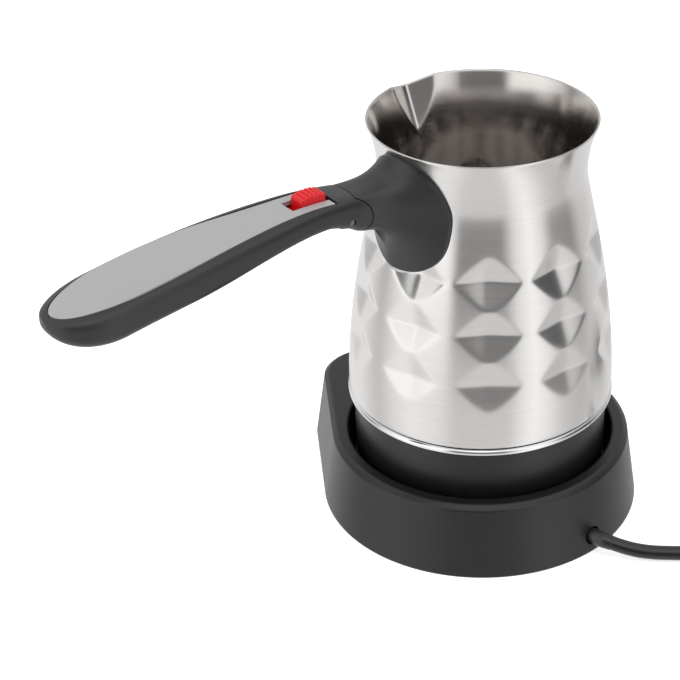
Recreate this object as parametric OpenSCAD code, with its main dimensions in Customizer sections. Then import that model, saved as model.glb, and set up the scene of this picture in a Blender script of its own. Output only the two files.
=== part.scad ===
// Electric Turkish coffee pot with a folding handle on a cordless power base.
// Millimetres. Origin on the table under the pot's axis, +Z up, handle along +X,
// spout and the base's blunt tail along -Y, cord out of the base along +Y.

/* [Pot wall] */
// Height of the rim over the table
rim_z = 153; // [146:0.5:160]
// Outer radius at the rim
rim_r = 40.2; // [38.5:0.1:42]
// Height of the narrowest place, the waist
waist_z = 134; // [130:0.5:138]
// Outer radius at the waist
waist_r = 36.4; // [34:0.1:38]
// Height of the bottom edge of the steel wall
wall_foot_z = 48; // [46:0.5:52]
// Thickness of the steel sheet
sheet_t = 0.8; // [0.6:0.1:1.2]
// Height from the wall's bottom edge up to the inside floor
floor_rise = 4; // [3:0.5:6]

/* [Dimples] */
// Number of dimple columns around the wall
dimple_columns = 10; // [8:1:11]
// Number of dimples in a column
dimple_rows = 3; // [1:1:3]
// Height between dimple centres
dimple_pitch = 18.5; // [17:0.5:20]
// Width of a dimple
dimple_w = 21; // [15:0.5:23]
// Height of a dimple
dimple_h = 18.4; // [12:0.2:19]
// Depth of the top row's dimples
dimple_depth = 3; // [1.5:0.1:4]
// How much shallower each lower row is
dimple_fade = 0.5; // [0:0.1:0.8]
// Height of the lowest row's centre above the wall's bottom edge
dimple_rise = 24.7; // [20:0.1:30]

/* [Spout] */
// How far the lip stands out past the rim
spout_reach = 3.7; // [2:0.1:6]
// How far the lip's tip lies under the rim
spout_drop = 3.3; // [1:0.1:5]
// Width of the spout at the rim
spout_w = 17; // [10:0.5:22]
// Height of the spout from its foot to the rim
spout_h = 19; // [14:0.5:24]

/* [Trim ring] */
// Height of the bright bead at the bottom of the wall
bead_h = 3.1; // [2:0.1:4]
// How far the bead stands out past the wall
bead_out = 0.3; // [0:0.1:1]

/* [Heater housing] */
// Outer radius of the black cup under the wall
housing_r = 46.4; // [45:0.1:47]
// How far the steel wall's bottom stands out past the cup
foot_step = 1.7; // [1:0.1:2.2]
// Height of the cup's underside over the table
housing_z = 14.5; // [12:0.5:18]
// Wall thickness of the cup
housing_t = 2; // [1.6:0.1:3]
// Radius of the heater plate
plate_r = 40; // [36:0.5:42]
// Thickness of the heater plate
plate_t = 3; // [2:0.5:4]
// Radius of the tubular element's loop
element_r = 29.5; // [27:0.5:29.5]
// Diameter of the element's tube
element_d = 6.6; // [5:0.2:8]

/* [Connector] */
// Radius of the base's socket hub
hub_r = 15; // [14.5:0.1:17]
// Height of the hub's top over the table
hub_top_z = 25; // [22:0.5:27]
// Gap between the hub and the pot's connector
hub_gap = 0.4; // [0.3:0.1:0.8]
// Radius of the centre pin
pin_r = 2.3; // [1.5:0.1:2.6]
// Inner radius of the live ring on the pot
ring_r = 8; // [7.6:0.1:9]

/* [Base] */
// Height of the base
base_h = 28.3; // [26:0.5:34]
// Width of the base's rim round the well, at the table
base_rim = 10.1; // [8.6:0.1:13]
// How much the side wall leans in over its height
base_lean = 4.1; // [2:0.1:5]
// Distance from the pot's axis to the tail's corners
tail_y = 54.5; // [50:0.5:60]
// Half the distance between the tail's corners
tail_x = 11; // [6:0.5:16]
// Corner radius of the tail at the table
tail_r = 21; // [18:0.5:24]
// Chamfer round the top edge
base_chamfer = 1.2; // [0.5:0.1:2]
// Gap between the cup and the wall of the well
well_gap = 2.3; // [2.1:0.1:4]
// Gap between the well's floor and the pot's underside
seat_gap = 0.3; // [0.2:0.1:0.6]
// Wall thickness of the cover
cover_t = 2.4; // [1.8:0.1:3]
// Thickness of the bottom plate
bottom_t = 2; // [1.6:0.1:3]
// How far the rubber feet stand under the bottom plate
foot_out = 0.6; // [0.4:0.1:1.2]
// Radius of a rubber foot
foot_r = 6; // [4:0.5:8]

/* [Collar] */
// Half-width of the collar on the wall
collar_w = 18.3; // [17:0.1:20]
// How far the collar's foot lies to the side of the grip's middle plane
collar_side = 3.2; // [0:0.1:3.5]
// Height of the collar's widest place on the wall
collar_mid_z = 126; // [123:0.5:129]
// Height of the collar above its widest place
collar_up = 24.6; // [18:0.1:25.5]
// Height of the collar below its widest place
collar_down = 15.2; // [12:0.1:18]
// Thickness of the collar's rim on the wall
collar_rim = 1.6; // [1:0.1:3]
// Thickness of the steel bracket plate on the wall
bracket_t = 1.2; // [1:0.1:1.6]

/* [Hinge] */
// Distance from the pot's axis to the hinge pin
hinge_x = 61.5; // [60:0.1:66]
// Height of the hinge pin
hinge_z = 135.7; // [134.5:0.1:137]
// Radius of the hinge pin
hinge_pin_r = 1.25; // [1:0.05:1.6]
// Radius of the rounded nose of each cheek
nose_r = 7.7; // [7:0.1:8.2]
// Half-width of the tongue between the cheeks
tongue_w = 4; // [3:0.1:4.5]
// Gap between the hinge's moving faces
hinge_gap = 0.3; // [0.2:0.05:0.5]
// Running clearance of the pin in the tongue
pin_play = 0.05; // [0.02:0.01:0.09]

/* [Grip] */
// Distance from the pot's axis to the grip's end
grip_end = 171.8; // [155:0.2:190]
// Half-width of the neck
neck_w = 8.5; // [8:0.1:9]
// Half-width of the grip at its widest
grip_w = 14.9; // [13:0.1:16]
// Thickness of the neck
neck_t = 10.2; // [10:0.1:12]
// Thickness of the grip
grip_t = 14.3; // [13:0.1:17]
// Height of the crest, just behind the button
crest_z = 145.2; // [144.5:0.1:147]
// How far the top falls from the crest to the end
tail_fall = 8.9; // [4:0.1:14]
// Wall thickness of the grip shell
grip_wall = 2; // [1.6:0.1:2.6]
// Half-width of the panel at its front
panel_w0 = 7; // [6:0.1:7.4]
// Half-width of the panel at its widest
panel_w1 = 11.9; // [9:0.1:12]
// Thickness of the grey panel
panel_t = 1.6; // [1.2:0.1:2]

/* [Release] */
// Half-width of the button
button_w = 3.1; // [2.5:0.1:3.6]
// Length of the button's cap
button_l = 10; // [8:0.5:12]
// Height of the cap over the panel
button_h = 2.7; // [1.5:0.1:4]
// Travel of the button
button_travel = 3; // [2:0.1:4]
// Number of ribs across the button
button_ribs = 6; // [3:1:8]

/* [Cord] */
// Diameter of the cord
cord_d = 5.2; // [4.8:0.1:5.6]
// Radius at the middle of the coil's turns
coil_r = 28.6; // [26:0.2:31]

/* [Hidden] */
wall_foot_r = housing_r + foot_step;
well_r = housing_r + well_gap;
base_r = well_r + base_rim;
$fn = 64;

// A hair by which cutting bodies pass through the faces they cut
cut = 0.5;
// Fit between pieces that are fixed to each other
fit = 0.1;

// ---- Shared forms ---------------------------------------------------------------------

function clamp(t) = max(0, min(1, t));
function smooth(t) = let (c = clamp(t)) c * c * (3 - 2 * c);
function bezier(p, u) =
    pow(1 - u, 3) * p[0] + 3 * pow(1 - u, 2) * u * p[1]
    + 3 * (1 - u) * u * u * p[2] + pow(u, 3) * p[3];

// One ring of points in the plane X = x: a rounded outline with its own height and
// squareness above and below the widest place.
function outline(x, w, mid, up, down, square_up, square_down, n, square_far = 0) = [
    for (i = [0 : n - 1])
        let (
            a = 360 * i / n,
            c = cos(a),
            s = sin(a),
            e = s >= 0 ? square_up : c < 0 && square_far > 0 ? square_far : square_down,
            h = s >= 0 ? up : down
        )
        [x, w * sign(c) * pow(abs(c), 2 / e), mid + h * sign(s) * pow(abs(s), 2 / e)]
];

// A closed solid through rings of points that follow each other along +X.
module loft(rings) {
    n = len(rings[0]);
    m = len(rings);
    polyhedron(
        points = [for (r = rings) each r],
        faces = concat(
            [[for (i = [0 : n - 1]) i]],
            [[for (i = [0 : n - 1]) m * n - 1 - i]],
            [for (k = [0 : m - 2], i = [0 : n - 1])
                [k * n + i, (k + 1) * n + i, (k + 1) * n + (i + 1) % n]],
            [for (k = [0 : m - 2], i = [0 : n - 1])
                [k * n + i, (k + 1) * n + (i + 1) % n, k * n + (i + 1) % n]]
        )
    );
}

module tube(r_out, r_in, h) {
    difference() {
        cylinder(r = r_out, h = h);
        translate([0, 0, -cut]) cylinder(r = r_in, h = h + 2 * cut);
    }
}

// A cylinder along Y, centred on the XZ plane
module across(r, h) {
    rotate([90, 0, 0]) translate([0, 0, -h / 2]) cylinder(r = r, h = h);
}

// ---- Pot wall -------------------------------------------------------------------------

wall_steps = 11;
flare_steps = 6;
wall_rise = waist_z - wall_foot_z;
lower_curve = [
    [wall_foot_r, wall_foot_z],
    [wall_foot_r, wall_foot_z + 0.49 * wall_rise],
    [waist_r, waist_z - 0.09 * wall_rise],
    [waist_r, waist_z]
];
upper_curve = [
    [waist_r, waist_z],
    [waist_r, waist_z + 0.47 * (rim_z - waist_z)],
    [waist_r + 0.58 * (rim_r - waist_r), waist_z + 0.82 * (rim_z - waist_z)],
    [rim_r, rim_z]
];
wall_points = concat(
    [for (i = [0 : wall_steps]) bezier(lower_curve, i / wall_steps)],
    [for (i = [1 : flare_steps]) bezier(upper_curve, i / flare_steps)]
);
wall_table = [for (p = wall_points) [p[1], p[0]]];
function wall_r(z) = lookup(z, wall_table);

floor_z = wall_foot_z + floor_rise;

// The solid inside the wall line moved out by `off`, from height z0 up past the rim by `over`
module wall_solid(off, z0, over) {
    rotate_extrude()
        polygon(concat(
            [[0, z0], [wall_r(z0) + off, z0]],
            [for (p = wall_points) if (p[1] > z0 + 0.01) [p[0] + off, p[1]]],
            over > 0 ? [[rim_r + off, rim_z + over]] : [],
            [[0, rim_z + over]]
        ));
}

// A pressed diamond: two four-sided pyramids base to base, one in and one out of the wall
module diamond(z, depth, shift) {
    r = wall_r(z);
    proud = 0.25;
    side_x = sqrt(r * r - dimple_w * dimple_w / 4) + proud;
    translate([shift, 0, 0])
        polyhedron(
            points = [
                [wall_r(z + dimple_h / 2) + proud, 0, z + dimple_h / 2],
                [side_x, dimple_w / 2, z],
                [wall_r(z - dimple_h / 2) + proud, 0, z - dimple_h / 2],
                [side_x, -dimple_w / 2, z],
                [r - depth, 0, z],
                [r + 4, 0, z]
            ],
            faces = [
                [1, 0, 4], [2, 1, 4], [3, 2, 4], [0, 3, 4],
                [0, 1, 5], [1, 2, 5], [2, 3, 5], [3, 0, 5]
            ]
        );
}

module diamonds(shift) {
    for (c = [0 : dimple_columns - 1], k = [0 : dimple_rows - 1])
        rotate([0, 0, (c + 0.5) * 360 / dimple_columns])
            diamond(
                wall_foot_z + dimple_rise + k * dimple_pitch,
                dimple_depth - (dimple_rows - 1 - k) * dimple_fade,
                shift
            );
}

// The V of the spout, pointing along -Y. `shift` moves it in, `over` carries it past the lip.
module spout_v(shift, over) {
    foot = [wall_r(rim_z - spout_h), 0, rim_z - spout_h];
    tip = [rim_r + spout_reach, 0, rim_z - spout_drop];
    side_x = sqrt(rim_r * rim_r - spout_w * spout_w / 4) - 0.2;
    up = 1 + over;
    side_z = rim_z - (over > 0 ? 0 : 0.06);
    back_z = rim_z - (over > 0 ? 0 : 0.6);
    function past(p) = foot + up * (p - foot);
    rotate([0, 0, -90])
        translate([-shift, 0, 0])
            polyhedron(
                points = [
                    foot,
                    past(tip),
                    past([side_x, spout_w / 2, side_z]),
                    past([rim_r - 12, 0, back_z]),
                    past([side_x, -spout_w / 2, side_z])
                ],
                faces = [[0, 1, 2], [0, 4, 1], [0, 2, 3], [0, 3, 4], [1, 3, 2], [1, 4, 3]]
            );
}

module pot_body() {
    color("silver")
        difference() {
            union() {
                wall_solid(0, wall_foot_z, 0);
                spout_v(0, 0);
            }
            difference() {
                union() {
                    wall_solid(-sheet_t, floor_z, 4);
                    spout_v(1.25 * sheet_t, 0.4);
                }
                diamonds(-sheet_t);
            }
            diamonds(0);
            translate([0, 0, wall_foot_z - cut])
                cylinder(r = wall_foot_r - sheet_t, h = floor_rise - sheet_t + cut);
        }
}

module trim_ring() {
    r_in = housing_r + fit;
    mid_z = wall_foot_z - bead_h / 2;
    out = wall_foot_r + bead_out;
    color("gainsboro")
        rotate_extrude()
            polygon(concat(
                [[r_in, mid_z - bead_h / 2]],
                [for (a = [-90 : 22.5 : 90])
                    [out - bead_h / 2 + bead_h / 2 * cos(a), mid_z + bead_h / 2 * sin(a)]],
                [[r_in, mid_z + bead_h / 2]]
            ));
}

// ---- Heater ---------------------------------------------------------------------------

plate_z = floor_z - sheet_t - plate_t;
element_z = plate_z - element_d / 2;
boss_r = 4;
stud_r = 3;
screw_r = 1.2;
fixing_r = plate_r - stud_r - 1;
stud_l = 10;
screw_head_r = 2.6;
screw_head_h = 1.6;

module at_fixings() {
    for (a = [90, 210, 330])
        rotate([0, 0, a]) translate([fixing_r, 0, 0]) children();
}

module heater_plate() {
    color("lightgray")
        difference() {
            union() {
                translate([0, 0, plate_z]) cylinder(r = plate_r, h = plate_t - fit / 2);
                at_fixings() translate([0, 0, plate_z - stud_l]) cylinder(r = stud_r, h = stud_l + 1);
            }
            at_fixings()
                translate([0, 0, plate_z - stud_l - cut]) cylinder(r = screw_r, h = stud_l + cut);
        }
}

// The tube bends down at both ends of its loop to the terminals
element_sweep = 300;
terminal_l = 8;

module heating_element() {
    color("dimgray")
        translate([0, 0, element_z - fit / 2]) {
            rotate([0, 0, 30 - element_sweep / 2 + 180])
                rotate_extrude(angle = element_sweep)
                    translate([element_r, 0]) circle(d = element_d);
            for (s = [-1, 1])
                rotate([0, 0, 30 + 180 + s * element_sweep / 2])
                    translate([element_r, 0, 0]) {
                        translate([0, 0, -terminal_l])
                            cylinder(r = element_d / 2 + 0.5, h = terminal_l + element_d / 2 - 0.4);
                        translate([0, 0, -terminal_l - 5]) cylinder(r = 1.3, h = 6);
                    }
        }
}

cutout_r = 8;
cutout_h = 7;

module thermal_cutout() {
    color("ivory")
        translate([0, 0, plate_z - cutout_h - fit / 2]) {
            cylinder(r = cutout_r, h = cutout_h);
            for (s = [-1, 1])
                translate([s * 4 - 0.4, -3, -5]) cube([0.8, 6, 5.5]);
        }
}

// ---- Heater housing and connector -----------------------------------------------------

connector_r = hub_r + hub_gap + 4.9;
connector_flange_r = connector_r + 3;
throat_r = connector_r + 0.3;
throat_h = 12;
housing_draft = 0.6;
housing_top_z = wall_foot_z + 2;
housing_floor_t = housing_t + 0.4;
throat_top_z = housing_z + throat_h;

module heater_housing() {
    color("#2b2b2b")
        difference() {
            union() {
                difference() {
                    rotate_extrude()
                        polygon([
                            [0, housing_z], [housing_r - 3, housing_z], [housing_r - housing_draft, housing_z + 3],
                            [housing_r, wall_foot_z - bead_h], [housing_r, housing_top_z], [0, housing_top_z]
                        ]);
                    translate([0, 0, housing_z + housing_floor_t])
                        cylinder(r = housing_r - housing_draft - housing_t, h = housing_top_z);
                }
                translate([0, 0, housing_z]) cylinder(r = throat_r + housing_t, h = throat_h);
                at_fixings()
                    translate([0, 0, housing_z + 1])
                        cylinder(r = boss_r, h = plate_z - stud_l - fit - housing_z - 1);
            }
            translate([0, 0, housing_z - cut]) cylinder(r = throat_r, h = throat_h + 2 * cut);
            at_fixings() {
                translate([0, 0, housing_z - cut]) cylinder(r = screw_head_r + 0.3, h = screw_head_h + 1 + cut);
                translate([0, 0, housing_z]) cylinder(r = screw_r + 0.2, h = plate_z);
            }
        }
}

module housing_screws() {
    color("silver")
        at_fixings()
            translate([0, 0, housing_z + 1 - fit]) {
                cylinder(r = screw_head_r, h = screw_head_h);
                cylinder(r = screw_r - 0.02, h = plate_z - stud_l + 7 - housing_z);
            }
}

socket_top = hub_top_z + hub_gap;
connector_top_t = 3;
pin_drop = 7;
ring_t = 0.6;
ring_seat = 1.6;
tail_pin_r = 1.1;

// The pot's half of the connector: an open cup that drops over the hub
module pot_connector() {
    color("#333333")
        difference() {
            union() {
                translate([0, 0, housing_z + 0.5])
                    cylinder(r = connector_r, h = socket_top + connector_top_t - housing_z - 0.5);
                translate([0, 0, throat_top_z + 0.3])
                    cylinder(r = connector_flange_r, h = 2);
            }
            translate([0, 0, housing_z]) cylinder(r = hub_r + hub_gap, h = socket_top - housing_z);
            translate([0, 0, socket_top - cut]) {
                cylinder(r = pin_r + 0.02, h = connector_top_t + 2 * cut);
                tube(ring_r + ring_t + 0.02, ring_r - 0.02, ring_seat + cut);
                translate([ring_r + ring_t / 2, 0, 0]) cylinder(r = tail_pin_r + 0.02, h = connector_top_t + 2 * cut);
            }
        }
}

module connector_pins() {
    l = pin_drop + connector_top_t + 3;
    color("goldenrod")
        translate([0, 0, socket_top - pin_drop]) {
            translate([0, 0, pin_r]) cylinder(r = pin_r, h = l - pin_r);
            translate([0, 0, pin_r]) sphere(r = pin_r);
            tube(ring_r + ring_t, ring_r, pin_drop + ring_seat);
            translate([ring_r + ring_t / 2, 0, pin_drop]) cylinder(r = tail_pin_r, h = connector_top_t + 3);
        }
}

// ---- Base -----------------------------------------------------------------------------

well_floor_z = housing_z - seat_gap;
well_floor_t = 2.2;
base_z0 = foot_out;
skirt_z = foot_out / 3;
foot_sink = 1;
sleeve_r = 0.6;
live_w = 1.6;

// The base's outline is a round with a blunt tail. `inset` moves it in all round.
module base_form(z0, z1, inset) {
    lean0 = base_lean * z0 / base_h;
    lean1 = base_lean * z1 / base_h;
    hull() {
        translate([0, 0, z0])
            cylinder(r1 = base_r - lean0 - inset, r2 = base_r - lean1 - inset, h = z1 - z0, $fn = 72);
        for (s = [-1, 1])
            translate([s * tail_x, -tail_y, z0])
                cylinder(r1 = tail_r - lean0 - inset, r2 = tail_r - lean1 - inset, h = z1 - z0, $fn = 40);
    }
}

fixing_az = 33.7;
fixing_inset = 5.4;
foot_az = 49.9;
foot_inset = 9.1;
tail_foot_out = 11;
tail_foot_back = 1.5;
tail_fixing_in = 2;
tail_fixing_out = 7.5;
base_screw_l = 6;
function at_angle(a, r) = [r * cos(a), r * sin(a)];
base_fixings = [
    at_angle(180 - fixing_az, well_r - fixing_inset), at_angle(fixing_az, well_r - fixing_inset),
    [tail_fixing_in - tail_x, -tail_y - tail_fixing_out], [tail_x - tail_fixing_in, -tail_y - tail_fixing_out]
];
foot_places = [
    at_angle(180 - foot_az, base_r - foot_inset), at_angle(foot_az, base_r - foot_inset),
    [-tail_x - tail_foot_out, tail_foot_back - tail_y], [tail_x + tail_foot_out, tail_foot_back - tail_y]
];
cord_az = 95.5;
sleeve_in = 14.8;
cord_exit_z = 6.4;

module base_cover() {
    plate_top = base_z0 + bottom_t + fit;
    boss_h = well_floor_z - well_floor_t - plate_top + 1;
    color("#262626")
        difference() {
            union() {
                difference() {
                    union() {
                        base_form(skirt_z, base_h - base_chamfer, 0);
                        hull() {
                            base_form(base_h - base_chamfer - 0.02, base_h - base_chamfer, 0);
                            base_form(base_h - 0.02, base_h, base_chamfer);
                        }
                    }
                    base_form(plate_top, base_h - cover_t, cover_t);
                    base_form(0, plate_top + 0.01, cover_t - 1.2);
                }
                translate([0, 0, well_floor_z - well_floor_t])
                    cylinder(r = well_r + cover_t, h = base_h - cover_t - well_floor_z + well_floor_t + 1);
                for (p = base_fixings)
                    translate([p[0], p[1], plate_top])
                        cylinder(r = boss_r, h = norm(p) > well_r + 4 ? base_h - cover_t - plate_top + 0.5 : boss_h);
            }
            translate([0, 0, well_floor_z]) cylinder(r = well_r, h = base_h);
            translate([0, 0, well_floor_z - well_floor_t - cut])
                cylinder(r = hub_r + fit, h = well_floor_t + 2 * cut);
            for (p = base_fixings)
                translate([p[0], p[1], plate_top - cut]) cylinder(r = screw_r, h = 8 + cut);
            rotate([0, 0, cord_az])
                translate([base_r - 9, 0, cord_exit_z])
                    rotate([0, 90, 0]) cylinder(r = cord_d / 2 + 0.7, h = 12);
        }
}

module base_plate() {
    color("#303030")
        difference() {
            base_form(base_z0, base_z0 + bottom_t, cover_t - 1.2 + 0.2);
            for (p = foot_places)
                translate([p[0], p[1], base_z0 - cut]) cylinder(r = foot_r + fit, h = foot_sink + cut);
            for (p = base_fixings)
                translate([p[0], p[1], base_z0 - cut]) {
                    cylinder(r = screw_r + 0.2, h = bottom_t + 2 * cut);
                    cylinder(r = screw_head_r + 0.3, h = 1 + cut);
                }
            sweep(sleeve_route, cord_d / 2 + 0.6);
            rotate([0, 0, cord_az])
                translate([base_r - sleeve_in - 0.2, 0, cord_exit_z])
                    rotate([0, 90, 0]) cylinder(r = cord_d / 2 + 1.1, h = 3.4);
        }
}

module base_feet() {
    color("#1a1a1a")
        for (p = foot_places)
            translate([p[0], p[1], 0]) cylinder(r = foot_r, h = base_z0 + foot_sink - fit / 2);
}

module base_screws() {
    color("silver")
        for (p = base_fixings)
            translate([p[0], p[1], base_z0 - fit]) {
                cylinder(r = screw_head_r, h = 1);
                cylinder(r = screw_r - 0.02, h = bottom_t + base_screw_l);
            }
}

// The hub carries a centre hole and a ring groove, and hangs on a flange under the well's floor
module power_socket() {
    flange_top = well_floor_z - well_floor_t - fit / 2;
    color("#3a3a3a")
        difference() {
            union() {
                translate([0, 0, flange_top - 2]) cylinder(r = hub_r, h = hub_top_z - flange_top + 2);
                translate([0, 0, flange_top - 2]) cylinder(r = hub_r + 4, h = 2);
            }
            translate([0, 0, flange_top]) {
                cylinder(r = pin_r + 0.3 + sleeve_r + fit, h = hub_top_z);
                tube(ring_r + ring_t + 1.2, ring_r - live_w, hub_top_z);
            }
        }
}

module socket_contacts() {
    flange_top = well_floor_z - well_floor_t - fit / 2;
    l = 9;
    color("gold")
        translate([0, 0, flange_top + fit / 2]) {
            tube(pin_r + 0.3 + sleeve_r, pin_r + 0.3, l);
            tube(ring_r - 0.3, ring_r - live_w + fit, l);
        }
}

// ---- Cord -----------------------------------------------------------------------------

// Middle of the cord from inside the base, along the table and up to the coil
cord_route = [
    [-8.2, base_r + 5.2, 5.7], [-10.9, base_r + 9, 4.8], [-14.2, base_r + 12.7, 3.9],
    [-18.3, base_r + 16.3, 3.2], [-23.1, base_r + 20.1, 2.9], [-29, base_r + 24.8, 2.8],
    [-37, base_r + 31.3, 2.9], [-45, base_r + 37.9, 3.1], [-53.5, base_r + 45, 3.3],
    [-61.9, base_r + 52.1, 3.3]
];
// Middle of the sleeve from inside the base to where the cord comes out of it
sleeve_route = [
    [-4.1, base_r - 15.8, 6.4], [-4.7, base_r - 9.8, 6.4], [-5.3, base_r - 3.8, 6.4],
    [-5.6, base_r - 0.3, 6.4], [-6.6, base_r + 2.8, 6.1], [-8.2, base_r + 5.2, 5.7]
];
// Middle of the cord from the coil to the plug
plug_route = [
    [-105.8, base_r + 48.3, 8.5], [-109, base_r + 44.5, 8.4], [-112.3, base_r + 40.7, 8],
    [-115.5, base_r + 36.9, 7.4], [-118.3, base_r + 33.6, 6.9], [-120.9, base_r + 30.5, 6.8],
    [-122.5, base_r + 28.6, 6.8]
];
coil_at = [-82, base_r + 28.2];
coil_z = 0.7;
plug_at = [-120.9, base_r + 30.5];
plug_az = 230;
plug_w = 35;
plug_t = 13.6;
plug_l = 36;
plug_tail_l = 20;
plug_pin_gap = 19;
plug_pin_r = 2;
plug_pin_l = 19;
cord_sides = 8;

function unit(v) = v / norm(v);
// Direction of the route at point i
function heading(p, i) = unit(p[min(i + 1, len(p) - 1)] - p[max(i - 1, 0)]);

// A tube swept along a route, with a ring of points square to the route at each of its points
module sweep(p, r) {
    n = cord_sides;
    m = len(p);
    points = [
        for (i = [0 : m - 1])
            let (d = heading(p, i), side = unit(cross([0, 0, 1], d)), up = cross(d, side))
            for (k = [0 : n - 1]) p[i] + r * (cos(360 * k / n) * side + sin(360 * k / n) * up)
    ];
    polyhedron(
        points = points,
        faces = concat(
            [[for (k = [0 : n - 1]) k]],
            [[for (k = [0 : n - 1]) m * n - 1 - k]],
            [for (i = [0 : m - 2], k = [0 : n - 1])
                [i * n + k, (i + 1) * n + k, (i + 1) * n + (k + 1) % n]],
            [for (i = [0 : m - 2], k = [0 : n - 1])
                [i * n + k, (i + 1) * n + (k + 1) % n, i * n + (k + 1) % n]]
        )
    );
}

module power_cord() {
    color("#161616") {
        sweep(cord_route, cord_d / 2);
        sweep(plug_route, cord_d / 2);
    }
}

module cord_coil() {
    color("#161616")
        translate([coil_at[0], coil_at[1], coil_z])
            rotate_extrude()
                translate([coil_r - cord_d, 0])
                    square([2 * cord_d, 2 * cord_d]);
}

// A flat band round the coil's turns
module cord_tie() {
    band_t = 0.4;
    band_w = 5;
    gap = 0.25;
    l = 2 * cord_d + 2 * gap;
    color("#101010")
        translate([coil_at[0], coil_at[1], coil_z])
            rotate([0, 0, -70])
                translate([coil_r - cord_d - gap, 0, -gap])
                    difference() {
                        translate([-band_t, -band_w / 2, -band_t]) cube([l + 2 * band_t, band_w, l + 2 * band_t]);
                        translate([0, -band_w, 0]) cube([l, 2 * band_w, l]);
                    }
}

// Sleeve that guides the cord through the side wall, with a flange inside
module strain_relief() {
    r = cord_d / 2;
    color("#141414") {
        sweep(sleeve_route, r + 0.4);
        rotate([0, 0, cord_az])
            translate([base_r - sleeve_in, 0, cord_exit_z])
                rotate([0, 90, 0]) cylinder(r = r + 0.9, h = 3);
    }
}

module plug_body() {
    color("#161616")
        translate([plug_at[0], plug_at[1], plug_t / 2])
            rotate([0, 0, plug_az])
                difference() {
                    union() {
                        hull() {
                            translate([plug_tail_l, 0, 0]) rotate([0, 90, 0]) cylinder(r = plug_t / 2 - 1, h = 2, $fn = 32);
                            for (s = [-1, 1])
                                translate([plug_tail_l + plug_l - 10, s * (plug_w - plug_t) / 2, 0])
                                    rotate([0, 90, 0]) cylinder(r = plug_t / 2, h = 10, $fn = 32);
                        }
                        rotate([0, 90, 0]) cylinder(r1 = cord_d / 2 + 1, r2 = plug_t / 2 - 1.5, h = plug_tail_l + 1);
                    }
                    for (s = [-1, 1])
                        translate([plug_tail_l + plug_l - 6, s * plug_pin_gap / 2, 0])
                            rotate([0, 90, 0]) cylinder(r = plug_pin_r + 0.02, h = 7);
                    rotate([0, 90, 0]) translate([0, 0, -cut]) cylinder(r = cord_d / 2 + 0.1, h = 4);
                }
}

module plug_pins() {
    color("silver")
        translate([plug_at[0], plug_at[1], plug_t / 2])
            rotate([0, 0, plug_az])
                for (s = [-1, 1])
                    translate([plug_tail_l + plug_l - 6, s * plug_pin_gap / 2, 0]) {
                        rotate([0, 90, 0]) cylinder(r = plug_pin_r, h = plug_pin_l + 6 - plug_pin_r);
                        translate([plug_pin_l + 6 - plug_pin_r, 0, 0]) sphere(r = plug_pin_r);
                    }
}

// ---- Arm: the collar and the grip share one outer skin --------------------------------

wall_x = rim_r - 1.7;
rim_x = wall_x + collar_rim;
neck_x = hinge_x - 3;
crest_x = hinge_x + 18.5;
front_fall = 1.6;
widest_x = hinge_x + 76.5;
end_l = 22;
panel_front = hinge_x + 5.8;

// 1 at the wall, 0 from the neck on; a higher power hugs the wall more
function flare(x, power) = pow(clamp(1 - (x - rim_x) / (neck_x + 2 - rim_x)), power);
function rounding(x) = sqrt(1 - pow(clamp((x - grip_end + end_l) / end_l), 2));

function bare_top(x) =
    let (c = max(x, neck_x))
    crest_z - (c < crest_x
        ? front_fall * pow((crest_x - c) / (crest_x - neck_x), 2)
        : tail_fall * pow((c - crest_x) / (grip_end - crest_x), 2));
// The neck is deepest at the hinge, thinnest under the button, and fills out to the grip
function bare_thick(x) =
    (neck_t + (grip_t - neck_t) * smooth((x - hinge_x - 14) / 50)
        + 2.6 * (1 - smooth((x - neck_x) / 13))
        + 2.4 * (1 - smooth((x - neck_x + 3.5) / 6))) * (0.1 + 0.9 * rounding(x));
function arm_top(x) =
    let (g = flare(x, 4)) bare_top(x) * (1 - g) + (collar_mid_z + collar_up) * g;
function arm_bottom(x) =
    let (g = flare(x, 3.4)) (bare_top(x) - bare_thick(x)) * (1 - g) + (collar_mid_z - collar_down) * g;
function arm_mid(x) =
    let (g = flare(x, 2.8)) (bare_top(x) - bare_thick(x) / 2) * (1 - g) + collar_mid_z * g;
function arm_w(x) =
    let (g = flare(x, 3), u = clamp((x - neck_x) / (widest_x - neck_x)))
    (neck_w + (grip_w - neck_w) * pow(sin(90 * u), 1.15)) * rounding(x) * (1 - g) + collar_w * g;

function arm_ring(x, inset, n) =
    let (g = flare(x, 1.2), mid = arm_mid(x))
    outline(
        x, max(0.4, arm_w(x) - inset), mid,
        max(0.3, arm_top(x) - mid - inset), max(0.3, mid - arm_bottom(x) - inset),
        4.5 - 2.4 * g, 2.5 + 0.3 * g - 2 * g * (1 - g), n, 2.5 - 1.1 * g - 1.6 * g * (1 - g)
    );
// Rings inside the rim repeat the rim's outline, nearer the axis
function shift_x(x) = [for (i = [0 : 31]) [min(0, x - rim_x), 0, 0]];
// A ring bent round the wall, fully at the wall and less and less towards the neck
function hugging(ring, g) = [
    for (p = ring)
        let (y = p[1] + collar_side * g * g)
        [p[0] + g * (sqrt(pow(wall_r(p[2]), 2) - y * y) - wall_x), y, p[2]]
];

collar_stations = [wall_x - 6, rim_x - 0.7, rim_x + 1.2, rim_x + 2.8, rim_x + 4.8, rim_x + 7.2,
    rim_x + 10, rim_x + 13, rim_x + 16, neck_x + 0.5, hinge_x + 2];
grip_stations = concat(
    [hinge_x - nose_r - 1, hinge_x - 5, neck_x, hinge_x, hinge_x + 4],
    [for (x = [hinge_x + 10 : 7.5 : grip_end - end_l - 4]) x],
    [for (a = [0 : 10 : 80]) grip_end - end_l * (1 - sin(a))],
    [grip_end - 0.08]
);

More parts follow.
